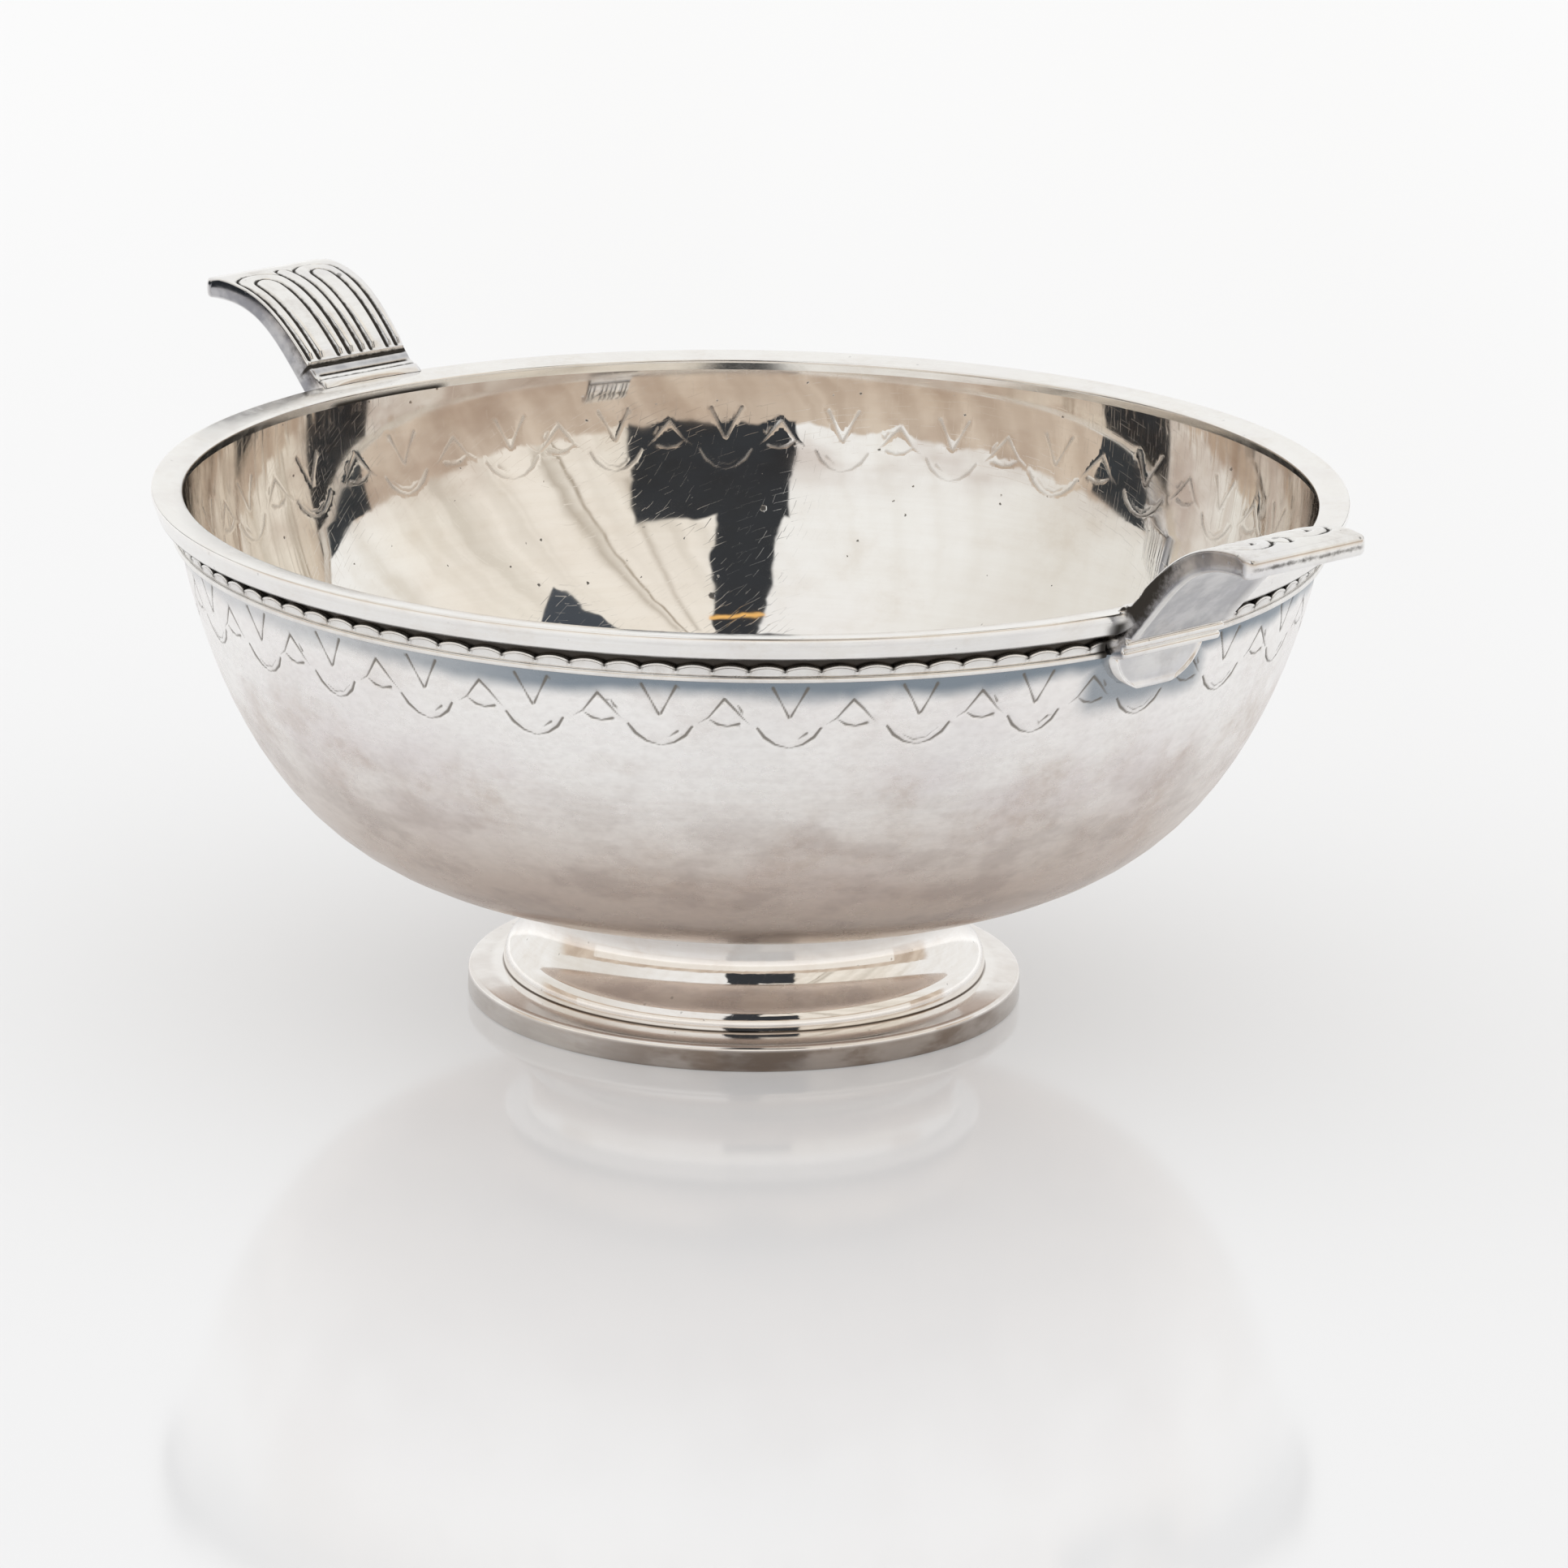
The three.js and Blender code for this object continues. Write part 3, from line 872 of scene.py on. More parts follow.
    def scoop_underside(self):
        scoop = ramp(self.side - 0.9, 1.4)
        scoop = scoop * scoop * (3 - 2 * scoop)
        from_rim = ramp(self.side_view_x - self.rim - 1.0, 3.0)
        self.push -= self.lower * 0.55 * scoop * from_rim
        # Painted shade on the scooped underside
        self.cool_toning_and_shade += self.lower * (0.15 + 0.6 * scoop)

    def tone_sides(self, flank_painted_reflection):
        """Painted dark reflection on the sides: cool, and black near the rim; and a dark seam
        across the tip.
        """
        flank = np.clip(1 - self.side / 0.12, 0.0, 1.0)
        near_rim = np.clip(1.5 - (self.side_view_x - self.rim) / 11.0, 0.0, 1.0)
        black = flank * near_rim * flank_painted_reflection * np.where(self.lower, 0.5, 1.0)
        self.cool_toning_and_shade = np.maximum(self.cool_toning_and_shade, flank * ~(self.seat | self.lobe))
        self.dark = np.maximum(self.dark, black * (self.upper | self.lower))
        seam_height = self.top - self.h.thickness / MM / 2 - 0.5
        seam = 0.5 * hill(self.z - seam_height, 0.55) * ramp(self.side, 1.5)
        self.dark = np.where(self.part == "end", seam, self.dark)


class SILVER_OT_handles(bpy.types.Operator):
    """Cast the two handles with their loops, reeds, ridges and lobes"""

    bl_idname = "silver.handles"
    bl_label = "Handles"

    columns = 104
    # Places of the first columns, closer together at the side
    side_places = np.array([0.0, 0.0024, 0.006, 0.012, 0.022])
    lobe_top = RIM_HIGH.z / MM - 8.0
    lobe_steps = 16
    # How strongly each handle's sides near the rim get painted black reflection
    flank_painted_reflection = {"right": 1.0, "left": 0.42}

    def execute(self, context):
        for name, turn in (("right", 0.0), ("left", math.pi)):
            mesh = self.cast(name)
            mesh.transform(Matrix.Rotation(turn, 4, "Z"))
            show(mesh, f"thumb_{name}", f"handle_{name}", "handle_silver", crease=55)
        return {"FINISHED"}

    def plate(self):
        """Upper side, end and underside of the plate."""
        h = values().handle
        rim, top = RIM_HIGH.x / MM, RIM_HIGH.z / MM
        tip, tip_top = HANDLE_HIGH.x / MM, HANDLE_HIGH.z / MM - h.crown / MM
        thick = h.thickness / MM
        root = rim - 1.2
        reach, rise = tip - rim, tip_top - top
        upper = [(root, top + 0.7), (root + 2.0, top + 1.3)]
        hump = [
            upper[-1],
            (rim + 0.33 * reach, top + 0.72 * rise),
            (rim + 0.54 * reach, top + 1.07 * rise),
            (tip - 1.3, tip_top),
        ]
        upper += bezier(hump, 80)
        tip_low = tip_top - thick
        corners = [(tip - 3, tip_top), (tip, tip_top), (tip - 0.2, tip_low), (tip - 3, tip_low)]
        end = rounded(corners, [0, 1.3, 1.3, 0], 9)[1:-1]
        hollow = [
            (tip - 1.5, tip_low),
            (rim + 0.5 * reach, top + 1.07 * rise - thick),
            (rim + 0.38 * reach, top + 0.63 * rise - thick),
            (rim + 1.6, top - 4.4),
        ]
        lower = even(hollow[:1] + bezier(hollow, 60), 0.45)
        return ("upper", even(upper, 0.21)), ("end", even(end, 0.25)), ("lower", lower)

    def apron(self):
        """Ridges and lobe below the plate, and the seat against the wall and the rim."""
        rim, top, under = RIM_HIGH.x / MM, RIM_HIGH.z / MM, RIM_LOW.z / MM
        ridges = []
        for ridge in range(2):
            out, high = rim + 0.35 - 0.75 * ridge, top - 4.5 - 1.75 * ridge
            ridges += arc((out - 0.45, high - 0.85), 0.8, 75, -75, 10)
        lobe_low = self.lobe_top - values().handle.lobe_drop / MM
        lobe_high = self.lobe_top - 0.2
        lobe = []
        for share_down in (step / self.lobe_steps for step in range(self.lobe_steps + 1)):
            height = lobe_high + (lobe_low - lobe_high) * math.sin(share_down * math.pi / 2)
            stand = 1.7 * (1 - 0.8 * share_down**5)
            lobe.append((wall_radius_at(height * MM) / MM + stand, height))
        heights = np.linspace(lobe_low, under, 8)
        seat = [(wall_radius_at(height * MM) / MM - 0.1, height) for height in heights]
        seat += [(rim - 1.9, under + 0.1), (rim - 0.2, top - 1.4)]
        seat += [(rim - 0.3, top - 0.1), (rim - 1.2, top - 0.1)]
        return ("ridges", even(ridges, 0.25)), ("lobe", lobe), ("seat", seat)

    def outline(self):
        """The side view, and the parts that its points belong to."""
        points, names = [], []
        for part, chain in self.plate() + self.apron():
            for p in chain:
                if points and math.dist(points[-1], p) < 0.02:
                    continue
                points.append(p)
                names.append(part)
        return np.array(points), np.array(names)

    def across(self):
        """Places of the columns from one side to the other."""
        sides = self.side_places
        inner = self.columns - 2 * (len(sides) - 1)
        middle = np.linspace(sides[-1], 1 - sides[-1], inner + 1)[1:-1]
        return np.concatenate([sides, middle, 1 - sides[::-1]])

    def cast(self, name):
        outline, parts = self.outline()
        places = self.across()
        bm = bmesh.new()
        face = bm.faces.new([bm.verts.new((x, 0.0, z)) for x, z in outline])
        made = bmesh.ops.extrude_face_region(bm, geom=[face])
        far = [v for v in made["geom"] if isinstance(v, bmesh.types.BMVert)]
        bmesh.ops.translate(bm, verts=far, vec=(0.0, 1.0, 0.0))
        long_edges = [e for e in bm.edges if abs(e.verts[0].co.y - e.verts[1].co.y) > 0.5]
        bmesh.ops.subdivide_edges(bm, edges=long_edges, cuts=len(places) - 2)
        bmesh.ops.triangulate(bm, faces=[f for f in bm.faces if len(f.verts) > 4])
        bmesh.ops.recalc_face_normals(bm, faces=bm.faces)
        mesh = ended(bm, "casting")
        co = coordinates(mesh)
        row = np.linalg.norm(co[:, None, [0, 2]] - outline[None], axis=-1).argmin(axis=1)
        column = np.rint(co[:, 1] * (len(places) - 1)).astype(int)
        casting = Casting(outline, parts, row, places[column], self.lobe_top)
        casting.carve(self.flank_painted_reflection[name])
        set_coordinates(mesh, np.column_stack([casting.x, casting.y, casting.z]) * MM)
        paint(mesh, "cut", casting.dark)
        paint(mesh, "cool_toning_and_shade", casting.cool_toning_and_shade)
        bm = bmesh.new()
        bm.from_mesh(mesh)
        bpy.data.meshes.remove(mesh)
        return closed_mesh(bm, f"handle_{name}_looks")


# Nodes


class Nodes:
    """Short ways to place the nodes of one tree."""

    def __init__(self, tree):
        self.tree = tree

    def add(self, kind, inputs=None, **settings):
        """Places a node, sets it, and fills or links its inputs."""
        made = self.tree.nodes.new(kind)
        for key, value in settings.items():
            setattr(made, key, value)
        for key, value in (inputs or {}).items():
            socket = made.inputs[key]
            if isinstance(value, bpy.types.NodeSocket):
                self.tree.links.new(value, socket)
            elif socket.type == "RGBA":
                socket.default_value = (*value[:3], 1.0)
            else:
                socket.default_value = value
        return made

    def maths(self, operation, first, second=0.0):
        return self.add("ShaderNodeMath", {0: first, 1: second}, operation=operation).outputs[0]

    def plus(self, first, second):
        return self.maths("ADD", first, second)

    def less(self, first, second):
        return self.maths("SUBTRACT", first, second)

    def most(self, first, second):
        return self.maths("MAXIMUM", first, second)

    def product(self, *factors):
        total = factors[0]
        for factor in factors[1:]:
            total = self.maths("MULTIPLY", total, factor)
        return total

    def between(self, value, low, high, to_low=0.0, to_high=1.0):
        """A smooth step while the value runs from low to high."""
        inputs = {"Value": value, "From Min": low, "From Max": high}
        inputs.update({"To Min": to_low, "To Max": to_high})
        kind = {"interpolation_type": "SMOOTHSTEP"}
        return self.add("ShaderNodeMapRange", inputs, **kind).outputs[0]

    def blend(self, factor, first, second):
        """A number between two."""
        inputs = {0: factor, 2: first, 3: second}
        return self.add("ShaderNodeMix", inputs, data_type="FLOAT").outputs[0]

    def mixed(self, factor, first, second):
        """A colour between two."""
        inputs = {0: factor, 6: first, 7: second}
        return self.add("ShaderNodeMix", inputs, data_type="RGBA").outputs[2]

    def vector(self, operation, first, second=(0.0, 0.0, 0.0)):
        return self.add("ShaderNodeVectorMath", {0: first, 1: second}, operation=operation).outputs

    def split(self, vector):
        return self.add("ShaderNodeSeparateXYZ", {0: vector}).outputs

    def joined(self, x, y=0.0, z=0.0):
        return self.add("ShaderNodeCombineXYZ", {0: x, 1: y, 2: z}).outputs[0]

    def noise(self, place, scale, detail, roughness=0.5):
        inputs = {"Vector": place, "Scale": scale, "Detail": detail, "Roughness": roughness}
        return self.add("ShaderNodeTexNoise", inputs).outputs

    def cells(self, place, scale, size, portion):
        """Voronoi cells, with a size of mark for each and whether it has one."""
        cells = self.add("ShaderNodeTexVoronoi", {"Vector": place, "Scale": scale}).outputs
        chance = self.add("ShaderNodeSeparateColor", {0: cells["Color"]}).outputs
        size = self.product(size, self.between(chance[1], 0.0, 1.0, 0.3, 1.0))
        return cells, size, self.maths("LESS_THAN", chance[0], portion)

    def group(self, name, **given):
        """A shared group. Its inputs are named by their labels, with _ for a space."""
        inputs = {key.replace("_", " ").capitalize(): value for key, value in given.items()}
        return self.add("ShaderNodeGroup", inputs, node_tree=shared(name)).outputs


def patches_group(n, given):
    """Soft clouds of toning."""
    place = n.vector("MULTIPLY", given["Place"], given["Stretch"])[0]
    place = n.vector("ADD", place, given["Seed"])[0]
    clouds = n.noise(place, n.maths("DIVIDE", 1.0, given["Size"]), 3.5, 0.62)[0]
    return {"Mask": n.between(clouds, given["Low"], given["High"])}


def scratches_group(n, given):
    """Thin straight scratches, one to a long cell, that all run one way."""
    inputs = {"Vector": given["Place"], "Rotation": given["Turn"]}
    turned = n.add("ShaderNodeVectorRotate", inputs, rotation_type="EULER_XYZ").outputs[0]
    along = n.maths("DIVIDE", 1.0, given["Length"])
    steps = n.joined(n.maths("DIVIDE", 1.0, given["Spacing"]), along, along)
    place = n.vector("MULTIPLY", turned, steps)[0]
    cells, width, chosen = n.cells(place, 1.0, given["Width"], given["Share"])
    gap = n.vector("SUBTRACT", place, cells["Position"])[0]
    across = n.maths("ABSOLUTE", n.split(gap)[0])
    return {"Mask": n.product(n.between(across, width, 0.0), chosen)}


def pits_group(n, given):
    """Small round pits and specks of unlike sizes."""
    wobble = n.noise(given["Place"], 2500.0, 1.0)["Color"]
    shift = n.vector("MULTIPLY", wobble, (0.0004, 0.0004, 0.0004))[0]
    place = n.vector("ADD", given["Place"], shift)[0]
    scale = n.maths("DIVIDE", 1.0, given["Spacing"])
    cells, size, chosen = n.cells(place, scale, given["Largest"], given["Share"])
    spot = n.between(cells["Distance"], size, n.product(size, 0.6))
    return {"Mask": n.product(spot, chosen)}


def toned_group(n, given):
    """The colour, roughness and height of silver with toning, scratches and pits."""
    place, seed = given["Place"], given["Seed"]

    def patches(size, shift, low, high, stretch=given["Stretch"]):
        look = {"size": n.product(given["Patch size"], size), "seed": n.plus(seed, shift)}
        look.update(stretch=stretch, low=low, high=high)
        return n.group("Toning patches", place=place, **look)[0]

    tan = patches(1.0, 0.0, 0.47, 0.72)
    rosy = patches(1.7, 3.0, 0.42, 0.66)
    fine = patches(0.13, 5.0, 0.35, 0.75)
    worn = patches(0.6, 9.0, 0.4, 0.65)
    streaks = patches(0.5, 11.0, 0.3, 0.7, stretch=(0.25, 0.25, 9.0))
    lines = []
    for turn, spacing, run in (
        ((0.2, 0.1, 0.4), 0.0006, 0.0018),
        ((0.9, 0.5, 1.3), 0.0008, 0.0024),
    ):
        look = {"turn": turn, "spacing": spacing, "length": run, "width": 0.06, "share": 0.32}
        lines.append(n.group("Fine scratches", place=place, **look)[0])
    scratched = n.product(n.most(*lines), given["Scratched"])
    specks = []
    for spacing, largest, portion in ((0.0030, 0.11, 0.6), (0.011, 0.08, 0.4)):
        look = {"spacing": spacing, "largest": largest, "share": portion}
        specks.append(n.group("Pits", place=place, **look)[0])
    pitted = n.product(n.most(*specks), given["Pitted"])

    rosy = n.product(rosy, given["Rosy amount"])
    tan = n.product(tan, n.between(fine, 0.0, 1.0, 0.55, 1.0), given["Tan amount"])
    shade = n.plus(n.product(streaks, 0.10), n.product(fine, 0.06))
    tinted = n.mixed(rosy, given["Clean"], given["Rosy"])
    tinted = n.mixed(tan, tinted, given["Tan"])
    tinted = n.mixed(shade, tinted, given["Tan"])
    tinted = n.mixed(n.product(pitted, 0.85), tinted, values().finish.pits)

    rough = n.blend(n.most(tan, n.product(worn, 0.5)), given["Smooth"], given["Rough"])
    for marks, amount in ((streaks, 0.02), (scratched, 0.14), (pitted, 0.3)):
        rough = n.plus(rough, n.product(marks, amount))

    swell = n.noise(n.vector("ADD", place, seed)[0], 62.0, 1.5, 0.45)[0]
    height = n.product(swell, given["Waviness"])
    for marks, depth in ((scratched, 0.012), (pitted, 0.25)):
        height = n.less(height, n.product(marks, depth))
    return {"Color": tinted, "Roughness": rough, "Height": height}


NOWHERE, EVEN, GREY = (0.0, 0.0, 0.0), (1.0, 1.0, 1.0), (0.8, 0.8, 0.8, 1.0)
# What fills each shared group, its inputs with their defaults, and its outputs
GROUPS = {
    "Toning patches": (
        patches_group,
        {"Place": NOWHERE, "Stretch": EVEN, "Size": 0.02, "Seed": 0.0, "Low": 0.5, "High": 0.7},
        {"Mask": "Float"},
    ),
    "Fine scratches": (
        scratches_group,
        {"Place": NOWHERE, "Turn": NOWHERE, "Spacing": 0.002, "Length": 0.012}
        | {"Width": 0.03, "Share": 0.5},
        {"Mask": "Float"},
    ),
    "Pits": (
        pits_group,
        {"Place": NOWHERE, "Spacing": 0.004, "Largest": 0.2, "Share": 0.3},
        {"Mask": "Float"},
    ),
    "Toned silver": (
        toned_group,
        {"Place": NOWHERE, "Stretch": (1.0, 1.0, 1.3), "Clean": GREY, "Tan": GREY, "Rosy": GREY}
        | {"Patch size": 0.02, "Tan amount": 0.4, "Rosy amount": 0.4, "Smooth": 0.1, "Rough": 0.2}
        | {"Scratched": 0.5, "Pitted": 0.3, "Waviness": 0.3, "Seed": 0.0},
        {"Color": "Color", "Roughness": "Float", "Height": "Float"},
    ),
}


def shared(name):
    """A node group that is built once."""
    if name in bpy.data.node_groups:
        return bpy.data.node_groups[name]
    fill, inputs, outputs = GROUPS[name]
    tree = bpy.data.node_groups.new(name, "ShaderNodeTree")
    for label, default in inputs.items():
        kind = "Float"
        if isinstance(default, tuple):
            kind = "Vector" if len(default) == 3 else "Color"
        socket = tree.interface.new_socket(
            name=label, in_out="INPUT", socket_type=f"NodeSocket{kind}"
        )
        socket.default_value = default
    for label, kind in outputs.items():
        tree.interface.new_socket(name=label, in_out="OUTPUT", socket_type=f"NodeSocket{kind}")
    n = Nodes(tree)
    n.add("NodeGroupOutput", fill(n, n.add("NodeGroupInput").outputs))
    return tree


# Materials


class Finish(Nodes):
    """One slot's silver: its shader, and the colour, roughness and height that feed it."""

    bump_depth = 0.0001

    def __init__(self, name):
        self.material = bpy.data.materials.new(name)
        self.material.use_nodes = True
        super().__init__(self.material.node_tree)
        self.place = self.add("ShaderNodeTexCoord").outputs["Object"]
        self.up = self.split(self.place)[2]
        flat = self.vector("MULTIPLY", self.place, (1.0, 1.0, 0.0))[0]
        self.radius = self.vector("LENGTH", flat)["Value"]

    def height_band(self, low, high):
        """A smooth step while the height runs from low to high."""
        return self.between(self.up, low, high)

    def radius_band(self, low, high):
        return self.between(self.radius, low, high)

    def painted(self, name):
        return self.add("ShaderNodeAttribute", attribute_name=name).outputs["Fac"]

    def toward(self, direction):
        """Distance from the bowl's axis in one direction."""
        return self.vector("DOT_PRODUCT", self.place, direction)["Value"]

    def beside(self, width):
        """Strongest against the handles, and gone at this distance from them."""
        half = values().handle.width / 2
        out, aside = (self.maths("ABSOLUTE", self.split(self.place)[axis]) for axis in (0, 1))
        near = self.between(aside, half + width, half)
        return self.product(near, self.between(out, 0.07, 0.08))

    def patches(self, size, seed, low, high, press=1.0):
        """Soft clouds of this size, pressed flat."""
        look = {"size": size, "seed": seed, "low": low, "high": high}
        return self.group("Toning patches", place=self.place, stretch=(1, 1, press), **look)[0]

    def toned(self, mask=None, second=None, **look):
        """Starts from silver with one look, or with two that a mask shares out."""
        for key, value in (second or {}).items():
            mix = self.blend if isinstance(value, float) else self.mixed
            look[key] = mix(mask, look[key], value)
        made = self.group("Toned silver", place=self.place, **look)
        self.colour, self.rough, self.height = made["Color"], made["Roughness"], made["Height"]

    def tint(self, tone, *masks):
        self.colour = self.mixed(self.product(*masks), self.colour, tone)

    def roughen(self, rough, *masks):
        self.rough = self.blend(self.product(*masks), self.rough, rough)

    def done(self):
        inputs = {"Strength": 1.0, "Distance": self.bump_depth, "Height": self.height}
        bump = self.add("ShaderNodeBump", inputs).outputs[0]
        shader = self.tree.nodes["Principled BSDF"].inputs
        shader["Metallic"].default_value = 1.0
        self.tree.links.new(self.colour, shader["Base Color"])
        self.tree.links.new(self.rough, shader["Roughness"])
        self.tree.links.new(bump, shader["Normal"])
        return self.material


def bowl_finish(s):
    """Satin and toned outside, polished, scratched and pitted inside, with painted shade low on
    the outer wall, under the wires and in the rim's gap.
    """
    f = values().finish
    inside, cut = s.painted("inside"), s.painted("cut")
    polished = {
        "clean": f.inside, "tan": (0.72, 0.64, 0.55), "rosy": (0.86, 0.81, 0.79),
        "patch_size": 0.03, "tan_amount": 0.45, "rosy_amount": 0.3, "smooth": 0.015,
        "rough": 0.065, "scratched": 1.0, "pitted": 1.0, "waviness": 0.13,
    }
    s.toned(
        inside, polished, clean=f.outside, tan=(0.60, 0.50, 0.435), rosy=(0.82, 0.755, 0.765),
        patch_size=0.022, tan_amount=0.65, rosy_amount=0.6, smooth=0.22, rough=0.36,
        scratched=0.25, pitted=0.1, waviness=0.25,
    )
    outside = s.less(1.0, inside)
    # Painted reflection of the bright and the shadowed table: the wall outside is lighter above,
    # and darker and browner below, where it is partly toning, with smudges below
    s.tint((0.99, 0.975, 0.96), s.height_band(0.058, 0.068), outside, 0.6)
    s.tint(f.lower_wall_toning_and_shade, s.height_band(0.063, 0.031), outside, 0.86)
    smudge = s.patches(0.016, 33.0, 0.44, 0.64, 2.0)
    s.tint((0.42, 0.345, 0.31), smudge, s.height_band(0.068, 0.038), outside, 0.45)
    s.tint((0.36, 0.31, 0.29), s.patches(0.0016, 35.0, 0.35, 0.75, 1.6), outside, 0.12)
    # Grey-blue under the wires, fainter at the left, and round the lobes: partly toning, partly
    # painted shade under the wires and the handles
    edge = s.plus(s.up, s.product(s.patches(0.03, 41.0, 0.3, 0.7), 0.0022))
    fade = s.between(s.toward((0.676, 0.737, 0.0)), -0.085, -0.02, 0.35, 0.95)
    band = s.product(s.between(edge, 0.0768, 0.0800), outside, fade)
    lobe = s.product(s.beside(0.0045), s.between(edge, 0.0695, 0.0745), outside, 0.8)
    s.tint(f.blue, s.most(band, lobe))
    # Painted shade: black in the gap between the wires and the rim
    s.tint((0.055, 0.048, 0.042), s.height_band(0.0810, 0.0815), outside)
    # Stains and dull silver along the top inside
    stain = s.patches(0.024, 51.0, 0.40, 0.68, 1.6)
    stain = s.product(stain, s.height_band(0.062, 0.072), inside)
    s.tint((0.56, 0.465, 0.41), stain, 0.65)
    s.tint((0.62, 0.51, 0.42), s.height_band(0.0755, 0.0835), inside, 0.22)
    s.roughen(0.12, stain, 0.35)
    s.roughen(0.4, cut, inside, 0.8)
    s.tint((0.17, 0.15, 0.125), s.between(cut, 0.05, 0.75), s.blend(inside, 0.85, 0.2))


def rim_finish(s):
    """Bright, with turning lines, and painted shade under its outer face and beside the handles.
    """
    f, low, high = values().finish, RIM_LOW.z, RIM_HIGH.z
    s.toned(
        clean=f.rim, tan=(0.70, 0.62, 0.53), rosy=(0.86, 0.83, 0.83), patch_size=0.008,
        tan_amount=0.25, rosy_amount=0.3, smooth=0.14, rough=0.26, scratched=0.6,
        pitted=0.25, waviness=0.05, seed=8.0,
    )
    lines = s.noise(s.joined(s.radius, s.up), 5200.0, 2.0)[0]
    s.height = s.plus(s.height, s.product(lines, 0.012))
    # Painted shade in uneven streaks at the foot of the outer face, and beside the handles
    streak = s.between(s.patches(0.004, 61.0, 0.3, 0.7, 6.0), 0.0, 1.0, 0.8, 1.0)
    hollow = s.height_band(low + 0.5 * MM, low + 0.15 * MM)
    hollow = s.product(hollow, streak, s.radius_band(0.0955, 0.0965))
    beside = s.product(s.beside(0.0035), s.height_band(high - 1.2 * MM, high - 2.4 * MM))
    hollow = s.most(hollow, beside)
    s.tint(f.black, hollow)
    s.roughen(0.45, hollow)


def wire_finish(s):
    """Worn bright on the humps, with black in the hollows and against the handles, partly toning
    and partly painted shade.
    """
    f = values().finish
    s.toned(
        clean=f.wires, tan=(0.55, 0.49, 0.43), rosy=(0.72, 0.70, 0.70), patch_size=0.006,
        tan_amount=0.4, rosy_amount=0.4, smooth=0.16, rough=0.34, scratched=0.3,
        pitted=0.2, waviness=0.04, seed=12.0,
    )
    # Black toning and painted shade in the hollows, and painted shade against the handles
    cut = s.most(s.painted("cut"), s.beside(0.0030))
    s.tint(f.black, s.between(cut, 0.0, 0.9))
    s.roughen(0.5, cut)


def handle_finish(s):
    """Worn castings with black loops, cool toning, painted shade under the plate and in the lobes,
    and painted dark reflection on the sides.
    """
    s.toned(
        clean=values().finish.handles, tan=(0.60, 0.55, 0.51), rosy=(0.78, 0.77, 0.80),
        patch_size=0.008, tan_amount=0.5, rosy_amount=0.5, smooth=0.10, rough=0.26,
        scratched=0.5, pitted=0.6, waviness=0.10, seed=16.0,
    )
    # Cool toning, with painted shade under the plate and in the lobes, and painted dark reflection
    # on the sides
    uneven = s.between(s.patches(0.006, 75.0, 0.3, 0.7), 0.0, 1.0, 0.6, 1.0)
    s.tint((0.31, 0.31, 0.335), s.painted("cool_toning_and_shade"), uneven)
    # Black in the loops and reeds, and painted dark reflection on the sides near the rim
    ragged = s.product(s.patches(0.0012, 71.0, 0.3, 0.7), -0.22)
    ragged = s.between(s.plus(s.painted("cut"), ragged), 0.08, 0.62)
    s.tint((0.055, 0.05, 0.045), ragged)
    s.roughen(0.5, ragged)


def foot_finish(s):
    """Spun and polished like a mirror, with tiny nicks."""
    edge = CONE_HIGH.x
    s.toned(
        clean=values().finish.foot, tan=(0.66, 0.55, 0.46), rosy=(0.84, 0.79, 0.77),
        patch_size=0.010, tan_amount=0.2, rosy_amount=0.25, smooth=0.03, rough=0.10,
        scratched=0.5, pitted=0.35, waviness=0.05, seed=22.0,
    )
    # Brown toning on the upright wall, strongest at one side
    wall = s.product(s.height_band(0.0040, 0.0033), s.radius_band(0.0455, 0.0462))
    stain = s.between(s.patches(0.012, 81.0, 0.3, 0.7, 3.0), 0.0, 1.0, 0.75, 1.0)
    ahead = s.between(s.toward((0.924, -0.383, 0.0)), 0.022, 0.042, 0.5, 1.0)
    s.tint((0.25, 0.20, 0.165), wall, stain, ahead)
    s.roughen(0.2, wall, 0.7)
    # Painted shade in the corner between the cone and the flange
    corner_shade = s.product(
        s.height_band(5.35 * MM, 5.1 * MM),
        s.radius_band(edge + 0.35 * MM, edge),
        s.radius_band(edge - 1.2 * MM, edge - 0.7 * MM),
    )
    s.tint((0.16, 0.115, 0.08), corner_shade, 0.8)
    flange = s.product(s.radius_band(0.0420, 0.0435), s.height_band(0.0038, 0.0043))
    dull = s.product(flange, s.patches(0.009, 85.0, 0.2, 0.6))
    s.tint((0.66, 0.60, 0.56), dull, 0.45)
    s.roughen(0.2, dull, 0.8)


FINISHES = {
    "bowl_silver": bowl_finish,
    "rim_silver": rim_finish,
    "wire_silver": wire_finish,
    "handle_silver": handle_finish,
    "foot_silver": foot_finish,
}


def silver(slot):
    """The toned silver of one slot, made once."""
    name = f"toned_{slot}"
    if name in bpy.data.materials:
        return bpy.data.materials[name]
    s = Finish(name)
    FINISHES[slot](s)
    return s.done()


# The stage


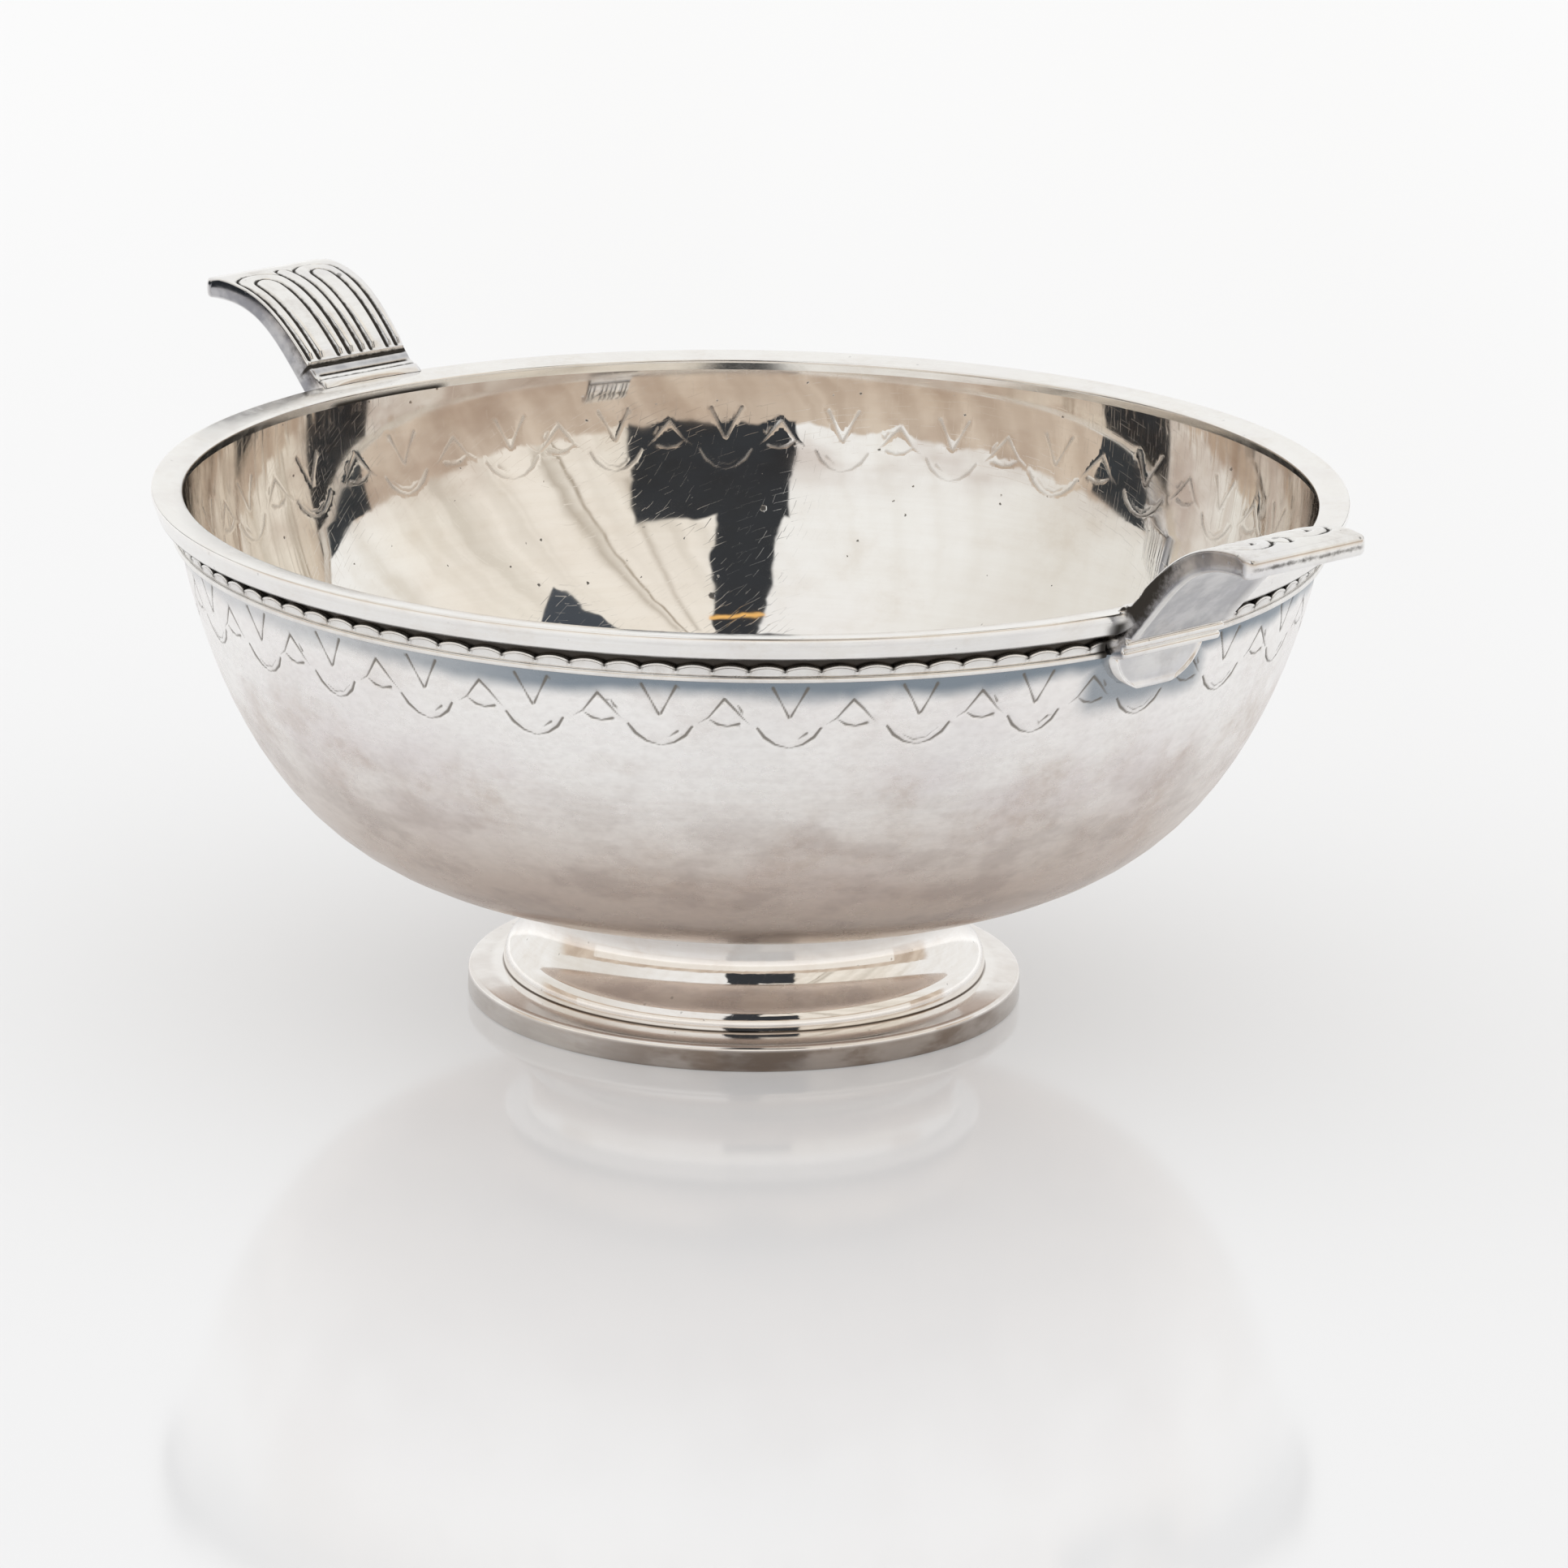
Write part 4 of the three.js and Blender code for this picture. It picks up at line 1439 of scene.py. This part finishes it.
class SILVER_OT_stage(bpy.types.Operator):
    """Set the floor, the light and the camera"""

    bl_idname = "silver.stage"
    bl_label = "Stage"

    floor_radius = 6.0
    floor_drop = 0.02 * MM
    dark = (0.045, 0.05, 0.055)
    hem_cloth = (0.90, 0.86, 0.80)
    # Two dark cards: first and last direction in degrees from the camera
    cards_at = ((-78, -107), (90, 115))
    # Distance and height of their near and far edges from the wall that mirrors them
    card_edges = ((0.22, 0.0915), (0.55, 0.180))

    def execute(self, context):
        self.floor()
        self.cards()
        self.hem()
        self.world()
        self.camera()
        context.scene.view_settings.view_transform = "Standard"
        return {"FINISHED"}

    def floor(self):
        s = values().studio
        bm = bmesh.new()
        under = Matrix.Translation((0.0, 0.0, -self.floor_drop))
        size = {"segments": 96, "radius": self.floor_radius}
        bmesh.ops.create_circle(bm, cap_ends=True, matrix=under, **size)
        material = bpy.data.materials.new("floor")
        material.use_nodes = True
        n = Nodes(material.node_tree)
        shader = n.tree.nodes["Principled BSDF"].inputs
        shader["Base Color"].default_value = (*s.floor, 1.0)
        shader["Roughness"].default_value = 0.09
        shader["IOR"].default_value = 1.6
        shader["Emission Color"].default_value = (1.0, 1.0, 1.0, 1.0)
        # The glow lightens the table where it is seen straight, in metal or through glass
        path = n.add("ShaderNodeLightPath").outputs
        seen = n.most(path["Is Camera Ray"], path["Is Glossy Ray"])
        seen = n.most(seen, path["Is Transmission Ray"])
        n.tree.links.new(n.product(seen, s.floor_glow), shader["Emission Strength"])
        floor = placed(ended(bm, "floor"), "floor", material)

    def glow(self, name, tone):
        """The nodes of a material that only glows, and its glow."""
        material = bpy.data.materials.new(name)
        material.use_nodes = True
        n = Nodes(material.node_tree)
        n.tree.nodes.remove(n.tree.nodes["Principled BSDF"])
        return material, n, n.add("ShaderNodeEmission", {"Color": tone}).outputs[0]

    def card(self, bm, material, n, surface):
        """A sheet of the stage that only the metal sees."""
        n.tree.links.new(surface, n.tree.nodes["Material Output"].inputs["Surface"])
        bm.transform(Matrix.Rotation(values().studio.camera_turn, 4, "Z"))
        card = placed(ended(bm, "card"), "card", material)
        for ray in ("camera", "diffuse", "transmission", "volume_scatter", "shadow"):
            setattr(card, f"visible_{ray}", False)

    def cards(self):
        """Dark sheets at both sides, which only the metal sees, and only from above."""
        material, n, dark = self.glow("card", self.dark)
        clear = n.add("ShaderNodeBsdfTransparent").outputs[0]
        back = n.add("ShaderNodeNewGeometry").outputs["Backfacing"]
        surface = n.add("ShaderNodeMixShader", {0: back, 1: dark, 2: clear}).outputs[0]
        for first, last in self.cards_at:
            near, far = self.card_edges
            corners = [self.mirrored(azimuth, *near) for azimuth in (first, last)]
            corners += [self.mirrored(azimuth, *far) for azimuth in (last, first)]
            bm = bmesh.new()
            face = bm.faces.new([bm.verts.new(corner) for corner in corners])
            face.normal_update()
            if face.normal.z < 0:
                face.normal_flip()
            self.card(bm, material, n, surface)

    def hem(self):
        """The cloth's hem along the table in front, which only the foot is low enough to show."""
        s = values().studio
        x, y = (-s.hem_far * turned(s.hem_reach) for turned in (math.sin, math.cos))
        bm = bmesh.new()
        ends = [bm.verts.new((x, y, z)) for z in (0.0, s.hem_rise)]
        line = bm.edges.new(ends)
        bmesh.ops.spin(bm, geom=ends + [line], angle=2 * s.hem_reach, steps=48, **UPRIGHT)
        self.card(bm, *self.glow("hem", self.hem_cloth))

    def mirrored(self, azimuth, far, rise):
        """A place that the inner wall mirrors to the camera, by its direction and distance."""
        side = -math.copysign(1, azimuth)
        azimuth = math.radians(azimuth)
        wall = math.pi - abs(azimuth) / 2
        start = Vector((side * math.sin(wall), -math.cos(wall), 0.0)) * 0.09
        away = Vector((math.sin(azimuth), -math.cos(azimuth), 0.0))
        return start + away * far + Vector((0.0, 0.0, rise))

    def world(self):
        """An even room for the light, and a cloth tent with its opening for the metal to show."""
        s = values().studio
        world = bpy.data.worlds.new("room")
        world.use_nodes = True
        n = Nodes(world.node_tree)
        background = n.tree.nodes["Background"].inputs
        background["Strength"].default_value = 1.0
        path = n.add("ShaderNodeLightPath").outputs
        direction = n.add("ShaderNodeTexCoord").outputs["Generated"]
        turn = {"Vector": direction, "Rotation": (0.0, 0.0, -s.camera_turn)}
        around = n.add("ShaderNodeMapping", turn).outputs[0]
        x, y, z = n.split(around)
        degrees = 180 / math.pi
        azimuth = n.product(n.maths("ARCTAN2", x, n.product(y, -1.0)), degrees)
        elevation = n.product(n.maths("ARCSINE", z), degrees)
        seen = n.mixed(path["Is Glossy Ray"], s.room, self.tent(n, around, azimuth, elevation))
        seen = n.mixed(path["Is Camera Ray"], seen, s.backdrop)
        n.tree.links.new(seen, background["Color"])
        bpy.context.scene.world = world

    def tent(self, n, around, azimuth, elevation):
        """The colours of the tent by their direction, in degrees from the camera."""
        ripple = n.less(n.noise(around, 9.0, 2.0)[0], 0.5)
        calm = n.plus(azimuth, n.product(ripple, 1.2))
        azimuth = n.plus(azimuth, n.product(ripple, 5.0))
        elevation = n.plus(elevation, n.product(ripple, 4.0))

        def panel(middle, height, half_width, half_height, soft=0.4, lean=0.0, across=azimuth):
            leant = n.less(elevation, height)
            side = n.less(n.less(across, middle), n.product(leant, lean))
            side = n.less(n.maths("ABSOLUTE", side), half_width)
            up = n.less(n.maths("ABSOLUTE", leant), half_height)
            return n.between(n.most(side, up), soft, -soft)

        # White cloth to the left, cream cloth to the right, with slack folds
        leaning = n.plus(azimuth, n.product(elevation, 0.45))
        folds = n.noise(n.joined(leaning), 0.11, 2.5)[0]
        cream = n.product(n.between(azimuth, -6.0, 16.0), n.between(azimuth, 110.0, 75.0))
        fold = n.product(n.between(folds, 0.40, 0.66), n.between(elevation, 66.0, 20.0))
        fold = n.product(fold, n.between(cream, 0.0, 1.0, 0.2, 0.9))
        grey = n.product(
            n.between(azimuth, -35.0, -80.0), n.between(azimuth, -125.0, -105.0)
        )
        tent = n.mixed(cream, (0.94, 0.94, 0.93), (0.92, 0.87, 0.79))
        tent = n.mixed(grey, tent, (0.82, 0.80, 0.76))
        tent = n.mixed(fold, tent, (0.70, 0.65, 0.57))
        for crease in (
            (33.0, 36.0, 0.4, 24.0, 0.4, -0.44),
            (36.0, 36.0, 0.2, 22.0, 2.2, -0.48),
            (23.0, 40.0, 0.2, 19.0, 1.6, -0.25),
        ):
            shade = n.product(panel(*crease, across=calm), 0.85)
            tent = n.mixed(shade, tent, (0.34, 0.28, 0.21))
        # The room seen under the cloth
        under = n.product(
            n.between(elevation, 12.4, 11.6),
            n.between(n.maths("ABSOLUTE", azimuth), 112.0, 104.0),
        )
        tan = n.mixed(n.between(folds, 0.35, 0.65), (0.54, 0.44, 0.355), (0.70, 0.60, 0.50))
        tent = n.mixed(under, tent, tan)
        for opening in (
            (9.0, 20.0, 18.0, 8.6),
            (2.5, 45.0, 8.0, 18.0, 0.4, 0.12),
            (5.0, 63.5, 40.0, 2.7),
        ):
            tent = n.mixed(panel(*opening), tent, (0.04, 0.043, 0.048))
        # A dark gap between two cloths
        above, off = n.less(elevation, 38.0), n.less(azimuth, 53.0)
        left = n.plus(off, n.product(above, 0.57))
        right = n.less(n.product(above, 1.43), off)
        wedge = n.product(
            n.between(left, -0.3, 0.5), n.between(right, -0.3, 0.5), n.between(above, 22.0, 20.0)
        )
        tent = n.mixed(wedge, tent, (0.07, 0.08, 0.095))
        return n.mixed(panel(4.0, 54.5, 8.5, 0.45, 0.25), tent, (0.95, 0.55, 0.18))

    def camera(self):
        s = values().studio
        data = bpy.data.cameras.new("camera")
        data.lens = s.camera_lens
        data.sensor_width = 36.0
        data.clip_start = 0.05
        data.clip_end = 50.0
        camera = bpy.data.objects.new("camera", data)
        bpy.context.scene.collection.objects.link(camera)
        turn = Matrix.Rotation(s.camera_turn, 3, "Z")
        flat = s.camera_distance * math.cos(s.camera_rise)
        high = s.camera_distance * math.sin(s.camera_rise)
        level = math.cos(s.pitch)
        look = Vector((math.sin(s.yaw) * level, math.cos(s.yaw) * level, -math.sin(s.pitch)))
        camera.location = turn @ Vector((0.0, -flat, high))
        aim = (turn @ look).to_track_quat("-Z", "Y")
        camera.rotation_mode = "QUATERNION"
        camera.rotation_quaternion = aim @ Matrix.Rotation(s.roll, 3, "Z").to_quaternion()
        bpy.context.scene.camera = camera


class SILVER_PT_panel(bpy.types.Panel):
    """Lists the pieces of the bowl"""

    bl_idname = "SILVER_PT_panel"
    bl_label = "Silver bowl"
    bl_space_type = "VIEW_3D"
    bl_region_type = "UI"
    bl_category = "Silver bowl"

    def draw(self, context):
        for operator in OPERATORS:
            self.layout.operator(operator.bl_idname)


OPERATORS = (
    SILVER_OT_bowl,
    SILVER_OT_rim,
    SILVER_OT_wires,
    SILVER_OT_handles,
    SILVER_OT_foot,
    SILVER_OT_stage,
)
CLASSES = (
    BowlShape,
    BorderShape,
    RimShape,
    FootShape,
    HandleShape,
    SilverFinish,
    StudioShape,
    SilverBowl,
    *OPERATORS,
    SILVER_PT_panel,
)


def register():
    for cls in CLASSES:
        bpy.utils.register_class(cls)
    bpy.types.Scene.silver_bowl = PointerProperty(type=SilverBowl)


def unregister():
    del bpy.types.Scene.silver_bowl
    for cls in reversed(CLASSES):
        bpy.utils.unregister_class(cls)


def main():
    register()
    bpy.ops.silver.bowl()
    bpy.ops.silver.rim()
    bpy.ops.silver.wires()
    bpy.ops.silver.handles()
    bpy.ops.silver.foot()
    bpy.ops.silver.stage()


if __name__ == "__main__":
    main()
